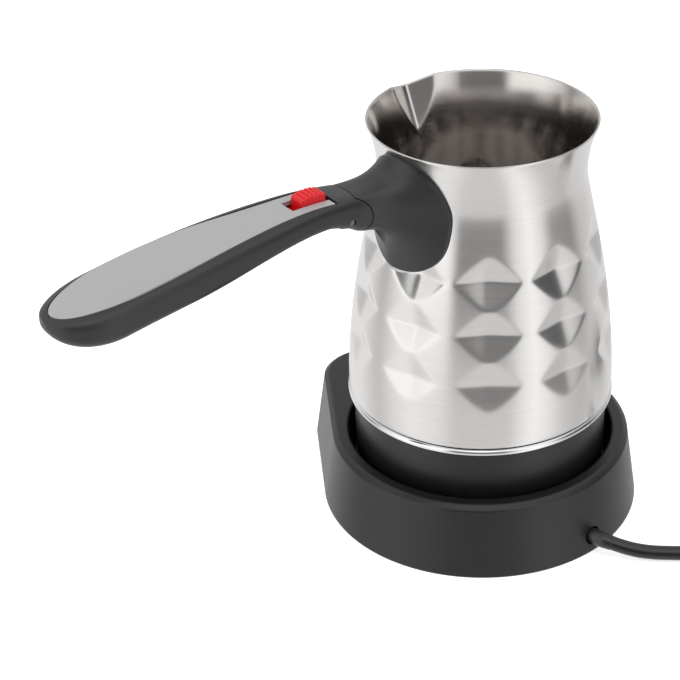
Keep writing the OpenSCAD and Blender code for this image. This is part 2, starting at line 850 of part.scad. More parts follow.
module collar_skin() {
    loft([for (x = collar_stations) hugging(arm_ring(max(x, rim_x), 0, 32), flare(x, 1)) + shift_x(x)]);
}

module grip_skin() {
    loft([for (x = grip_stations) arm_ring(x, 0, 28)]);
}

// The top seam bows a little towards the pot
module seam_round(grow) {
    r = 27;
    translate([neck_x + r, 0, hinge_z]) cylinder(r = r + grow, h = 30);
}

knuckle_r = 3.9;
bracket_low = collar_mid_z - collar_down - 1.2;
bracket_high = waist_z + 8;
bracket_w = 9;
tab_z = 132;
tab_t = 1.6;
tab_w = 5;
screw_x = hinge_x - 12;
tab_l = screw_x + 2.6 - wall_r(tab_z) - 0.5;
screw_seat_z = tab_z - 3;
access_r = 4.1;

// The bracket's outline seen along X: the collar's lower edge, a little larger
bracket_run = 15;
bracket_reach = 80;
bracket_under = 8;

module bracket_form(grow) {
    points = [
        for (p = outline(0, bracket_w + 1, bracket_low + bracket_run, 1, bracket_run, 2, 3.5, 40, 1.7))
            if (p[2] < bracket_low + bracket_run) [max(-bracket_w - grow, min(bracket_w + grow, p[1])), p[2] - grow]
    ];
    translate([0, collar_side, 0]) rotate([90, 0, 90])
        linear_extrude(bracket_reach)
            polygon(concat(
                points,
                [[bracket_w + grow, bracket_high + grow], [-bracket_w - grow, bracket_high + grow]]
            ));
}

// Steel plate that hugs the wall, with a tab that takes the collar's screw
module handle_bracket() {
    color("silver")
        difference() {
            union() {
                intersection() {
                    difference() {
                        wall_solid(bracket_t, bracket_low - bracket_under, 0);
                        wall_solid(fit / 2, bracket_low - bracket_under - 1, 1);
                    }
                    bracket_form(0);
                }
                translate([wall_r(tab_z) + 0.5, -tab_w, tab_z]) cube([tab_l, 2 * tab_w, tab_t]);
            }
            translate([screw_x, 0, tab_z - cut]) cylinder(r = screw_r, h = tab_t + 2 * cut);
        }
}

module handle_collar() {
    color("#2e2e2e")
        difference() {
            union() {
                difference() {
                    collar_skin();
                    // pocket for the grip's noses
                    translate([hinge_x, 0, hinge_z]) across(nose_r + hinge_gap, 60);
                    translate([hinge_x, -30, hinge_z - 30]) cube([20, 60, 60]);
                    seam_round(hinge_gap);
                }
                // tongue between the cheeks
                intersection() {
                    translate([hinge_x, 0, hinge_z]) across(knuckle_r, 2 * tongue_w);
                    translate([hinge_x - 20, -30, 100]) cube([40, 60, 60]);
                }
                intersection() {
                    collar_skin();
                    translate([hinge_x - 12, -tongue_w, hinge_z - 3.2]) cube([12, 2 * tongue_w, 6.4]);
                }
            }
            wall_solid(fit, bracket_low - 30, 5);
            // seat of the bracket plate and its tab
            intersection() {
                wall_solid(bracket_t + fit, bracket_low - 20, 5);
                bracket_form(fit);
            }
            translate([wall_r(tab_z) - 2, -tab_w - fit, tab_z - fit])
                cube([tab_l + 2.5 + fit, 2 * tab_w + 2 * fit, tab_t + 2 * fit]);
            // screw hole and its access recess in the underside
            translate([screw_x, 0, screw_seat_z - 1]) cylinder(r = screw_r + 0.2, h = 8.5);
            translate([screw_x, 0, 90]) cylinder(r = access_r, h = screw_seat_z - 90);
            translate([hinge_x, 0, hinge_z]) across(hinge_pin_r + pin_play, 40);
        }
}

module collar_screw() {
    color("silver")
        translate([screw_x, 0, screw_seat_z - screw_head_h - fit / 2]) {
            cylinder(r = screw_head_r, h = screw_head_h);
            cylinder(r = screw_r - 0.02, h = screw_head_h + 7);
        }
}

// ---- Grip -----------------------------------------------------------------------------

panel_end = grip_end - 2.6;
panel_end_l = 28;

function panel_top(x) = bare_top(x) - 0.45 + 0.3 * smooth((x - hinge_x - 33) / 25);
function panel_half(x, clear) =
    clear + max(0.5, sqrt(1 - pow(clamp((x - panel_end + panel_end_l) / panel_end_l), 2))
        * (panel_w0 + (panel_w1 - panel_w0)
            * pow(sin(90 * clamp((x - hinge_x - 10.5) / (widest_x - hinge_x - 10.5))), 2)));

// A strip that follows the grip's top, from the panel's front to its end
module panel_strip(down, up, clear) {
    stations = concat(
        [for (x = [panel_front - clear : 6.5 : panel_end - panel_end_l]) x],
        [for (a = [0 : 12 : 84]) panel_end - panel_end_l * (1 - sin(a))],
        [panel_end - 0.1 + 2 * clear]
    );
    loft([
        for (x = stations)
            let (w = panel_half(x, clear), t = panel_top(x))
            [[x, w, t - down], [x, w, t + up], [x, -w, t + up], [x, -w, t - down]]
    ]);
}

module grip_shell() {
    slot_w = tongue_w + hinge_gap;
    color("#2e2e2e")
        difference() {
            intersection() {
                grip_skin();
                union() {
                    translate([hinge_x, 0, hinge_z]) across(nose_r, 60);
                    translate([hinge_x, -30, 100]) cube([150, 60, 60]);
                    intersection() {
                        translate([hinge_x - 10, -30, hinge_z + 2]) cube([12, 60, 20]);
                        seam_round(0);
                    }
                }
            }
            // hollow under the panel
            loft([
                for (x = concat([panel_front + 0.3, hinge_x + 12], [for (k = [22 : 12 : 82]) hinge_x + k],
                    [grip_end - 20, grip_end - 13, grip_end - 8]))
                    arm_ring(x, grip_wall, 16)
            ]);
            panel_strip(panel_t + 0.05, 6, 0.15);
            // room for the button's skirt over its whole travel
            translate([button_x0 - 0.35, -button_w - 1.4, skirt_top - skirt_t - 0.4])
                cube([button_l + button_travel + 4.2, 2 * button_w + 2.8, skirt_t + 2.2]);
            // front of the hollow opens into the tongue's slot
            translate([hinge_x, -3.6, hinge_z - 1]) cube([10, 7.2, 6.4]);
            // slot of the tongue, open to the front and below
            translate([hinge_x, 0, hinge_z]) across(knuckle_r + hinge_gap, 2 * slot_w);
            translate([hinge_x - 20, -slot_w, hinge_z - 30]) cube([20 + 3, 2 * slot_w, 30]);
            translate([hinge_x - 20, -slot_w, hinge_z - 1]) cube([20, 2 * slot_w, 4.4]);
            translate([hinge_x, 0, hinge_z]) across(hinge_pin_r + 0.02, 40);
        }
}

slot_end = panel_front + button_l + button_travel + 1.3;

module grip_panel() {
    color("#b4b4b6")
        difference() {
            panel_strip(panel_t, 0, 0);
            translate([panel_front - 2, -button_w - 0.3, 100])
                cube([slot_end - panel_front + 2, 2 * button_w + 0.6, 60]);
        }
}

module hinge_pin() {
    color("silver")
        translate([hinge_x, 0, hinge_z]) across(hinge_pin_r, 2 * neck_w - 1.2);
}

// ---- Release --------------------------------------------------------------------------

button_x0 = panel_front + 0.8;
skirt_top = panel_top(panel_front) - panel_t - 0.4;
skirt_t = 1.4;
bolt_top = skirt_top - skirt_t - 0.05;
bolt_h = 3.4;
bolt_x0 = hinge_x + knuckle_r + hinge_gap + 0.3;
bolt_l = 16;
bolt_w = 2.8;
spring_r = 1.5;
spring_l = 8;

module release_button() {
    cap_top = panel_top(button_x0 + button_l / 2) + button_h;
    rib = button_l / button_ribs;
    color("#d9202a")
        difference() {
            union() {
                intersection() {
                    translate([button_x0, -button_w, skirt_top - 0.5])
                        cube([button_l, 2 * button_w, cap_top - skirt_top + 0.5]);
                    translate([button_x0 + button_l / 2, 0, cap_top - 14]) across(14, 20);
                }
                translate([button_x0, -button_w - 1, skirt_top - skirt_t])
                    cube([button_l + 3.4, 2 * button_w + 2, skirt_t]);
            }
            for (k = [0 : button_ribs])
                translate([button_x0 + k * rib, 0, cap_top + 0.35]) across(0.6, 20);
        }
}

module latch_bolt() {
    color("#c8c8c8")
        difference() {
            translate([bolt_x0, -bolt_w, bolt_top - bolt_h]) cube([bolt_l, 2 * bolt_w, bolt_h]);
            translate([bolt_x0 - 2, -bolt_w - 1, bolt_top - bolt_h - 1.4])
                rotate([0, -40, 0]) translate([0, 0, -3]) cube([6, 2 * bolt_w + 2, 3]);
        }
}

// The spring pushes the bolt towards the hinge
module latch_spring() {
    color("gray")
        translate([bolt_x0 + bolt_l + 0.1, 0, bolt_top - bolt_h / 2])
            rotate([0, 90, 0]) tube(spring_r, spring_r - 0.5, spring_l);
}

// ---- Assembly -------------------------------------------------------------------------

base_cover();
base_plate();
base_feet();
base_screws();
power_socket();
socket_contacts();
strain_relief();
power_cord();
cord_coil();
cord_tie();
plug_body();
plug_pins();
pot_connector();
connector_pins();
pot_body();
trim_ring();
heater_plate();
heating_element();
thermal_cutout();
heater_housing();
housing_screws();
handle_bracket();
handle_collar();
collar_screw();
grip_shell();
grip_panel();
hinge_pin();
release_button();
latch_bolt();
latch_spring();
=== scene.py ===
"""Looks of a cordless electric Turkish coffee maker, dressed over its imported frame.

Lengths in the dataclasses are millimetres, in the frame's own axes: +Z up from the table, +X from
the pot's axis along the handle. Meshes are written in metres.
"""

import logging
import math
from dataclasses import dataclass
from enum import Enum
from typing import Optional, Sequence, Union

import bpy
import numpy as np
from mathutils import Matrix, Vector


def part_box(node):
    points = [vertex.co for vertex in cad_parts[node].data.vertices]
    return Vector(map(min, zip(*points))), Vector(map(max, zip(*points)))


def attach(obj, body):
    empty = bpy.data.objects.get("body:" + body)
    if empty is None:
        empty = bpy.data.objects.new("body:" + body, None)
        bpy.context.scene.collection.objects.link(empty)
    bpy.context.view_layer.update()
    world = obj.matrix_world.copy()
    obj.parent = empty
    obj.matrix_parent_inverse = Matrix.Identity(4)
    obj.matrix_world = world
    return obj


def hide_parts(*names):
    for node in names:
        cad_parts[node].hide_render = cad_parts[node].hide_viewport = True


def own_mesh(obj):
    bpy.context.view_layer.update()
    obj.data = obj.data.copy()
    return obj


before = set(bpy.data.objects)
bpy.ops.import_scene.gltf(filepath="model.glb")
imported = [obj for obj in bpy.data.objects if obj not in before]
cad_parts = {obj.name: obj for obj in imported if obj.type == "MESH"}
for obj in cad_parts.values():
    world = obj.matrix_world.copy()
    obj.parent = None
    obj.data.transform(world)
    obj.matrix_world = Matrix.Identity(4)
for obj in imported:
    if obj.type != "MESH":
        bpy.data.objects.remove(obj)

log = logging.getLogger("coffee_maker")
MM = 0.001
SHARP_DEG = 38
Points = np.ndarray
Mesh = bpy.types.Mesh
Object = bpy.types.Object
Socket = bpy.types.NodeSocket
Row = Sequence[float]
Triple = tuple[float, float, float]
Levels = tuple[tuple[float, float], ...]


# ---- Curves and grids


def clamp(t: Points) -> Points:
    """Limits every value to the span from 0 to 1."""
    return np.clip(t, 0.0, 1.0)


def smooth(t: Points) -> Points:
    """Eases from 0 to 1: 3 t squared less 2 t cubed, level at both ends."""
    c = clamp(np.asarray(t, float))
    return c * c * (3 - 2 * c)


def half_ellipse(x: Points, end: float, length: float) -> Points:
    """1 until the last length, then a half-ellipse to 0: the root of 1 less the way in squared."""
    return np.sqrt(1 - clamp((x - end + length) / length) ** 2)


def signed_power(v: Points, power: Points) -> Points:
    """The size of v to a power, with v's own sign."""
    return np.sign(v) * np.abs(v) ** power


def round_angles(n: int) -> Points:
    """n even angles of a full turn, in radians."""
    return np.linspace(0, 2 * math.pi, n, endpoint=False)


def circle(r: float, z: float, n: int) -> Points:
    """n points of a level circle about Z."""
    a = round_angles(n)
    return np.column_stack([r * np.cos(a), r * np.sin(a), np.full(n, z)])


def along_x(x: Points, y: Points, z: Points) -> Points:
    """A grid of sections: each station's x with the y and z of its points."""
    return np.stack([x + 0 * y, y, z], axis=-1)


def soft_less(a: Points, b: Points, width: float) -> Points:
    """The lesser of two surfaces with their meeting line rounded.

    The mean of the two, less half the square root of their squared difference plus width squared.

    Args:
        a: First surface.
        b: Second surface.
        width: Size of the rounding, in the surfaces' unit.

    Returns:
        The blended surface, never above either.
    """
    return 0.5 * (a + b - np.sqrt((a - b) ** 2 + width * width))


def soft_more(a: Points, b: Points, width: float) -> Points:
    """The greater of two surfaces with their meeting line rounded; see soft_less."""
    return -soft_less(-a, -b, width)


def bezier(p: Sequence[Row], u: Points) -> Points:
    """Points of the cubic curve with four handles: the cubic Bernstein sum at each u."""
    a, b, c, d = np.asarray(p, float)
    u = u[:, None]
    return (1 - u) ** 3 * a + 3 * (1 - u) ** 2 * u * b + 3 * (1 - u) * u * u * c + u**3 * d


def arc(centre: Row, r: float, a0: float, a1: float, n: int) -> Points:
    """Points on a circle from angle a0 to a1 in degrees, both ends included."""
    a = np.radians(np.linspace(a0, a1, n))
    return np.stack([centre[0] + r * np.cos(a), centre[1] + r * np.sin(a)], axis=-1)


def rounded(corners: Sequence[Row], radii: Row, n: int = 6) -> Points:
    """An open profile through corners, each inner corner turned on a tangent arc.

    At a corner the arc starts and ends r times the tangent of half the turn away from it; its
    centre lies on the bisector, r over the cosine of half the turn from the corner.

    Args:
        corners: Points (r, z) in order.
        radii: One radius for each corner; the first and last are left sharp.
        n: Points on each arc.

    Returns:
        The profile's points, one row each.
    """
    c = np.asarray(corners, float)
    out = [c[0:1]]
    for p, q, s, r in zip(c[:-2], c[1:-1], c[2:], radii[1:-1]):
        if r <= 0:
            out.append(q[None])
            continue
        a, b = (p - q) / np.linalg.norm(p - q), (s - q) / np.linalg.norm(s - q)
        half = 0.5 * math.acos(float(np.clip(a @ b, -1, 1)))
        back = min(r / math.tan(half), 0.49 * min(np.linalg.norm(p - q), np.linalg.norm(s - q)))
        r = back * math.tan(half)
        start, end = q + a * back, q + b * back
        mid = q + (a + b) / np.linalg.norm(a + b) * (r / math.sin(half))
        t = np.linspace(0, 1, n)[:, None]
        chord = start + (end - start) * t - mid
        out.append(mid + chord / np.linalg.norm(chord, axis=1, keepdims=True) * r)
    out.append(c[-1:])
    return np.concatenate(out)


def run_length(line: Points) -> Points:
    """Running length at each point of a line, from 0."""
    return np.concatenate([[0], np.cumsum(np.linalg.norm(np.diff(line, axis=0), axis=1))])


def spaced(line: Points, n: int, last: bool = True) -> Points:
    """n points spaced evenly along a line, by its running length, with or without its last."""
    run = run_length(line)
    at = np.linspace(0, run[-1], n, endpoint=last)
    return np.stack([np.interp(at, run, axis) for axis in line.T], axis=-1)


def edged(half: Points, top: Points, low: Points, r: float, turn: Points, face: Points,
          face_lift: Points, edge_lift: Points) -> tuple[Points, Points]:
    """Sections of a strip: a flat underside, quarter-round edges and a face.

    On an edge y is half - r + r cos a and z is top - r + (r + edge_lift) sin a.

    Args:
        half: Half-widths, a column with one for each station.
        top: Heights of the face.
        low: Heights of the underside.
        r: Radius of the edges.
        turn: Angles along an edge, a row.
        face: Shares of the half-width across the face, a row.
        face_lift: What the face stands over its top.
        edge_lift: What the edges stand over their top.

    Returns:
        The sections' y and z.
    """
    edge_y = half - r + r * np.cos(turn)
    edge_z = top - r + r * np.sin(turn) + edge_lift * np.sin(turn)
    face_y, base = (half - r) * face, low + 0 * half
    y = np.concatenate([half, edge_y, face_y, -edge_y[:, ::-1], -half], axis=1)
    z = np.concatenate([base, edge_z, top + face_lift + 0 * face_y, edge_z[:, ::-1], base], axis=1)
    return y, z


def grid_faces(m: int, n: int, loop: bool) -> Points:
    """Quads between m closed rows of n points, as whole index arrays.

    Args:
        m: Rows.
        n: Points in a row.
        loop: The last row joins the first.

    Returns:
        One row of four indices for each quad.
    """
    i = np.arange(m if loop else m - 1)[:, None]
    j = np.arange(n)[None, :]
    i1, j1 = (i + 1) % m, (j + 1) % n
    quads = np.stack([i * n + j, i * n + j1, i1 * n + j1, i1 * n + j], axis=-1)
    return quads.reshape(-1, 4)


class Close(Enum):
    """How a grid's two end rows are shut."""

    LOOP = "loop"
    FANS = "fans"


def spin_profile(profile: Points, n: int) -> Points:
    """A grid from a profile (r, z) turned about Z: x is r cos a, y is r sin a."""
    a = round_angles(n)
    r, z = profile[:, 0:1], profile[:, 1:2]
    return np.stack([r * np.cos(a), r * np.sin(a), z + 0 * a], axis=-1)


def shade(mesh: Mesh) -> None:
    """Shades a mesh smooth, with its steeper edges sharp."""
    mesh.polygons.foreach_set("use_smooth", np.ones(len(mesh.polygons), bool))
    mesh.set_sharp_from_angle(angle=math.radians(SHARP_DEG))
    mesh.update()


def mesh_from_grid(name: str, grid: Points, close: Close = Close.FANS) -> Mesh:
    """A closed smooth mesh from a grid of points in millimetres.

    Fans join each end row to its own mean point. Faces are turned outwards by the sign of the
    volume, the sum over triangles of the triple product of their corners.

    Args:
        name: Name of the mesh.
        grid: Rows by columns by three, each row a closed ring.
        close: How the end rows are shut.

    Returns:
        The mesh, in metres.
    """
    m, n, _ = grid.shape
    co = grid.reshape(-1, 3) * MM
    quads = grid_faces(m, n, close is Close.LOOP)
    tris = np.zeros((0, 3), int)
    if close is Close.FANS:
        k = np.arange(n)
        caps = np.stack([grid[0].mean(0), grid[-1].mean(0)]) * MM
        co = np.vstack([co, caps])
        first = np.stack([np.full(n, m * n), (k + 1) % n, k], axis=-1)
        last = np.stack([np.full(n, m * n + 1), (m - 1) * n + k, (m - 1) * n + (k + 1) % n], axis=-1)
        tris = np.vstack([first, last])
    halves = np.vstack([quads[:, :3], quads[:, [0, 2, 3]], tris])
    a, b, c = co[halves[:, 0]], co[halves[:, 1]], co[halves[:, 2]]
    if np.einsum("ij,ij->i", a, np.cross(b, c)).sum() < 0:
        quads, tris = quads[:, ::-1], tris[:, ::-1]
    mesh = bpy.data.meshes.new(name)
    mesh.from_pydata(co.tolist(), [], quads.tolist() + tris.tolist())
    shade(mesh)
    return mesh


def mesh_object(mesh: Mesh) -> Object:
    """A new scene object at the origin that carries the mesh."""
    obj = bpy.data.objects.new(mesh.name, mesh)
    bpy.context.scene.collection.objects.link(obj)
    return obj


def cutter(grid: Points) -> Object:
    """A solid that carves another, from its grid."""
    return mesh_object(mesh_from_grid("cutter", grid))


class Cut(Enum):
    """What a solid does to another."""

    REMOVE = "DIFFERENCE"
    KEEP = "INTERSECT"
    ADD = "UNION"


def carve(body: Object, steps: Sequence[tuple[Cut, Object]]) -> Object:
    """Applies booleans to a solid and drops the cutters.

    Args:
        body: The solid that is cut.
        steps: Operations with their cutters, in order.

    Returns:
        The same object with its finished mesh.
    """
    for kind, tool in steps:
        step = body.modifiers.new(kind.name, "BOOLEAN")
        step.operation, step.solver, step.object = kind.value, "MANIFOLD", tool
    bpy.context.view_layer.update()
    done = bpy.data.meshes.new_from_object(body.evaluated_get(bpy.context.evaluated_depsgraph_get()))
    body.modifiers.clear()
    body.data = done
    done.name = body.name
    shade(done)
    for _, tool in steps:
        bpy.data.objects.remove(tool)
    return body


def removing(*tools: Object) -> list[tuple[Cut, Object]]:
    """The steps that cut each of these away."""
    return [(Cut.REMOVE, tool) for tool in tools]


def block(low: Row, high: Row) -> Object:
    """A cutter box between two corners, in millimetres."""
    (x0, y0, z0), (x1, y1, z1) = low, high
    ring = np.array([[y0, z0], [y1, z0], [y1, z1], [y0, z1]], float)
    return cutter(np.stack([np.column_stack([np.full(4, x), ring]) for x in (x0, x1)]))


def drum(centre: Row, r: float, half: float, axis: int, n: int = 96) -> Object:
    """A cutter cylinder along one axis, centred on a point, in millimetres."""
    ring = arc((0, 0), r, 0, 360, n + 1)[:-1]
    ends = np.stack([np.insert(ring, axis, s, axis=1) for s in (-half, half)])
    return cutter(ends + np.asarray(centre, float))


# ---- Shader writing

Value = Union[float, "Wire"]


class Wire:
    """A number that flows between shader nodes; arithmetic on it adds Math nodes."""

    def __init__(self, tree: bpy.types.NodeTree, socket: Socket) -> None:
        """Holds one output socket of a tree."""
        self.tree = tree
        self.socket = socket

    def _math(self, operation: str, *values: Value) -> "Wire":
        """Adds one Math node on the given values."""
        node = self.tree.nodes.new("ShaderNodeMath")
        node.operation = operation
        for k, value in enumerate(values):
            if isinstance(value, Wire):
                self.tree.links.new(value.socket, node.inputs[k])
            else:
                node.inputs[k].default_value = float(value)
        return Wire(self.tree, node.outputs[0])

    def __add__(self, other: Value) -> "Wire":
        """Sum."""
        return self._math("ADD", self, other)

    def __radd__(self, other: Value) -> "Wire":
        """Sum, with the number first."""
        return self._math("ADD", other, self)

    def __sub__(self, other: Value) -> "Wire":
        """Difference."""
        return self._math("SUBTRACT", self, other)

    def __rsub__(self, other: Value) -> "Wire":
        """Difference, with the number first."""
        return self._math("SUBTRACT", other, self)

    def __mul__(self, other: Value) -> "Wire":
        """Product."""
        return self._math("MULTIPLY", self, other)

    def __rmul__(self, other: Value) -> "Wire":
        """Product, with the number first."""
        return self._math("MULTIPLY", other, self)

    def angle_over(self, other: Value) -> "Wire":
        """The angle whose tangent is this over the other, in radians."""
        return self._math("ARCTAN2", self, other)

    def clamped(self) -> "Wire":
        """The value limited to the span from 0 to 1."""
        return self._math("MINIMUM", self._math("MAXIMUM", self, 0.0), 1.0)


@dataclass
class NodeBook:
    """Adds nodes to one tree and links them."""

    tree: bpy.types.NodeTree

    def node(self, kind: str, settings: Optional[dict] = None, **sockets: object) -> bpy.types.Node:
        """Adds a node.

        Args:
            kind: The node's type name.
            settings: Its own settings, set first; "stops" fills a colour ramp.
            sockets: Values or links of its inputs, underscores for spaces.

        Returns:
            The node.
        """
        made = self.tree.nodes.new(kind)
        for key, value in (settings or {}).items():
            if key == "stops":
                ramp = made.color_ramp
                for k, (at, colour) in enumerate(value):
                    stop = ramp.elements[k] if k < 2 else ramp.elements.new(at)
                    stop.position, stop.color = at, (*colour, 1)
            else:
                setattr(made, key, value)
        for key, value in sockets.items():
            self.feed(made.inputs[key.replace("_", " ")], value)
        return made

    def feed(self, socket: Socket, value: object) -> None:
        """Sets a socket's value, or links a wire or another socket to it."""
        if isinstance(value, Wire):
            value = value.socket
        if isinstance(value, Socket):
            self.tree.links.new(value, socket)
        else:
            socket.default_value = value

    def chosen(self, kind: str, slots: Sequence[int], *values: object) -> Socket:
        """The result of a node whose inputs are known by number, as both kinds of mix have."""
        made = self.node(kind, {"data_type": "RGBA"} if kind == "ShaderNodeMix" else None)
        for k, value in zip(slots, values):
            self.feed(made.inputs[k], value)
        return made.outputs[2 if kind == "ShaderNodeMix" else 0]

    def blend(self, amount: Value, low: object, high: object) -> Socket:
        """A colour between two by amount; each is a link, or red, green, blue and 1."""
        return self.chosen("ShaderNodeMix", (0, 6, 7), amount, low, high)

    def either(self, choice: Value, no: Socket, yes: Socket) -> Socket:
        """The second shader where the choice is 1, and the first where it is 0."""
        return self.chosen("ShaderNodeMixShader", (0, 1, 2), choice, no, yes)


class ShaderBook(NodeBook):
    """Writes one material's node tree."""

    def __init__(self, name: str) -> None:
        """Makes the material with an empty tree, its shader and its output."""
        self.material = bpy.data.materials.new(name)
        self.material.use_nodes = True
        super().__init__(self.material.node_tree)
        self.tree.nodes.clear()
        self.skin = self.node("ShaderNodeBsdfPrincipled")
        self.out = self.node("ShaderNodeOutputMaterial", {}, Surface=self.skin.outputs[0])

    def noise(self, scale: Row, detail: float = 2.0, rough: float = 0.5) -> Wire:
        """Smooth noise from 0 to 1 that varies scale times in a metre along each object axis."""
        at = self.node("ShaderNodeTexCoord").outputs["Object"]
        place = self.node("ShaderNodeMapping", {}, Vector=at, Scale=scale).outputs[0]
        made = self.node("ShaderNodeTexNoise", {}, Vector=place, Scale=1.0, Detail=detail,
                         Roughness=rough)
        return Wire(self.tree, made.outputs[0])

    def tint(self, amount: Value, low: Row, high: Row) -> Socket:
        """A colour between two by amount."""
        return self.blend(amount, (*low, 1), (*high, 1))

    def relief(self, height: Wire, depth_mm: float) -> Socket:
        """A bumped normal from a height of 0 to 1 that stands depth_mm tall."""
        made = self.node("ShaderNodeBump", {}, Height=height, Distance=depth_mm * MM, Strength=1.0)
        return made.outputs[0]

    def skin_set(self, **sockets: object) -> None:
        """Sets or links sockets of the surface shader."""
        for key, value in sockets.items():
            self.feed(self.skin.inputs[key.replace("_", " ")], value)


def grey(value: float) -> Triple:
    """A neutral colour."""
    return (value, value, value)


@dataclass(frozen=True)
class BrushedSheet:
    """Stainless sheet brushed in level lines round the pot."""

    name: str = "brushed_sheet"
    low: Triple = (0.69, 0.680, 0.672)
    high: Triple = (0.78, 0.773, 0.766)
    line_scale: float = 5200.0
    rough: float = 0.22
    line_mm: float = 0.008
    stretch: float = 0.75

    def build(self) -> bpy.types.Material:
        """Lines stretched round the pot in colour, gloss and relief, with soft cloudy patches."""
        book = ShaderBook(self.name)
        fine = book.noise((70, 70, self.line_scale), 2.0, 0.6)
        band = book.noise((16, 16, 700), 2.0, 0.5)
        cloud = book.noise((26, 26, 22), 2.0, 0.5)
        tone = (0.5 * fine + 0.2 * band + 0.3 * cloud).clamped()
        book.skin_set(
            Base_Color=book.tint((2.2 * tone - 0.6).clamped(), self.low, self.high),
            Metallic=1.0,
            Roughness=(self.rough - 0.03 + 0.06 * band).clamped(),
            Normal=book.relief(fine, self.line_mm),
            Anisotropic=self.stretch,
            Anisotropic_Rotation=0.25,
        )
        return book.material


@dataclass(frozen=True)
class BrightMetal:
    """Plain or plated metal with faint marks."""

    name: str
    colour: Triple
    rough: float
    mark_mm: float = 0.002

    def build(self) -> bpy.types.Material:
        """A metal whose gloss varies in small patches over fine scratches."""
        book = ShaderBook(self.name)
        patch = book.noise((180, 180, 180), 2.0, 0.5)
        scratch = book.noise((900, 2600, 1500), 1.0, 0.4)
        dark = tuple(0.9 * c for c in self.colour)
        book.skin_set(
            Base_Color=book.tint(patch, dark, self.colour),
            Metallic=1.0,
            Roughness=(self.rough * 0.8 + self.rough * 0.4 * patch).clamped(),
            Normal=book.relief(scratch, self.mark_mm),
        )
        return book.material


@dataclass(frozen=True)
class Moulding:
    """Moulded plastic or rubber with a fine grain."""

    name: str
    colour: Triple
    rough: float
    grain_mm: float = 0.006
    grain_scale: float = 2600.0
    coat: float = 0.0
    drift: float = 0.12

    def build(self) -> bpy.types.Material:
        """Grain in the relief, and slow drift of tone and gloss as on a handled moulding."""
        book = ShaderBook(self.name)
        grain = book.noise((self.grain_scale,) * 3, 2.0, 0.55)
        patch = book.noise((34, 34, 34), 2.0, 0.5)
        low = tuple(c * (1 - self.drift) for c in self.colour)
        high = tuple(min(1.0, c * (1 + self.drift)) for c in self.colour)
        book.skin_set(
            Base_Color=book.tint((0.7 * patch + 0.3 * grain).clamped(), low, high),
            Roughness=(self.rough - 0.05 + 0.07 * patch + 0.05 * grain).clamped(),
            Normal=book.relief(grain, self.grain_mm),
        )
        if self.coat > 0:
            book.skin_set(Coat_Weight=self.coat, Coat_Roughness=0.2)
        return book.material


class Finish(Enum):
    """Every finish of the coffee maker, with the record's material slot it stands for."""

    SHEET = ("stainless", BrushedSheet())
    # INSIDE is the same stainless sheet painted darker and warmer: painted shade of the pot's hollow.
    # Its lower roughness and weaker stretch are the inside's own finish.
    INSIDE = ("stainless", BrushedSheet("shaded_inside_sheet", (0.60, 0.575, 0.556), (0.67, 0.648, 0.63),
                                        rough=0.19, stretch=0.6))
    CHROME = ("chrome", BrightMetal("bright_chrome", (0.84, 0.84, 0.85), 0.10, 0.001))
    STEEL = ("steel", BrightMetal("turned_steel", (0.62, 0.62, 0.63), 0.28))
    PIN = ("steel", BrightMetal("dark_steel", (0.20, 0.20, 0.21), 0.25))
    CAST = ("aluminium", BrightMetal("cast_aluminium", (0.68, 0.69, 0.70), 0.42, 0.02))
    BRASS = ("brass", BrightMetal("contact_brass", (0.78, 0.60, 0.30), 0.25))
    BLACK = ("black_plastic", Moulding("satin_black", grey(0.019), 0.36))
    BASE_BLACK = ("black_plastic", Moulding("base_black", grey(0.0085), 0.34))
    GREY = ("grey_plastic", Moulding("satin_grey", (0.315, 0.315, 0.321), 0.34, 0.003, drift=0.03))
    RED = ("red_plastic", Moulding("button_red", (0.60, 0.006, 0.010), 0.36, 0.003, drift=0.06))
    SHEATH = ("cord_black", Moulding("cord_sheath", grey(0.008), 0.24, 0.004, 1400.0, coat=0.3))
    RUBBER = ("rubber", Moulding("foot_rubber", grey(0.035), 0.75, 0.02, 1800.0))

    def material(self) -> bpy.types.Material:
        """The finish's material, made once."""
        recipe = self.value[1]
        return bpy.data.materials.get(recipe.name) or recipe.build()

    def dress(self, obj: Object) -> None:
        """Puts the finish on every slot of a piece."""
        slots = obj.data.materials
        if not slots:
            slots.append(self.material())
        for k in range(len(slots)):
            slots[k] = self.material()


def piece(form: Union[Mesh, Object], finish: Finish, body: str, *nodes: str) -> Object:
    """Finishes a new piece: material, body and the solids it stands for.

    Args:
        form: The mesh, or an object at the origin that carries it.
        finish: Its finish.
        body: The body it moves with.
        nodes: Solids that it replaces.

    Returns:
        The piece.
    """
    obj = mesh_object(form) if isinstance(form, Mesh) else form
    finish.dress(obj)
    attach(obj, body)
    if nodes:
        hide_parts(*nodes)
    log.info("%s rides on %s for %s", obj.name, body, ", ".join(nodes) or "itself")
    return obj


# ---- Pot


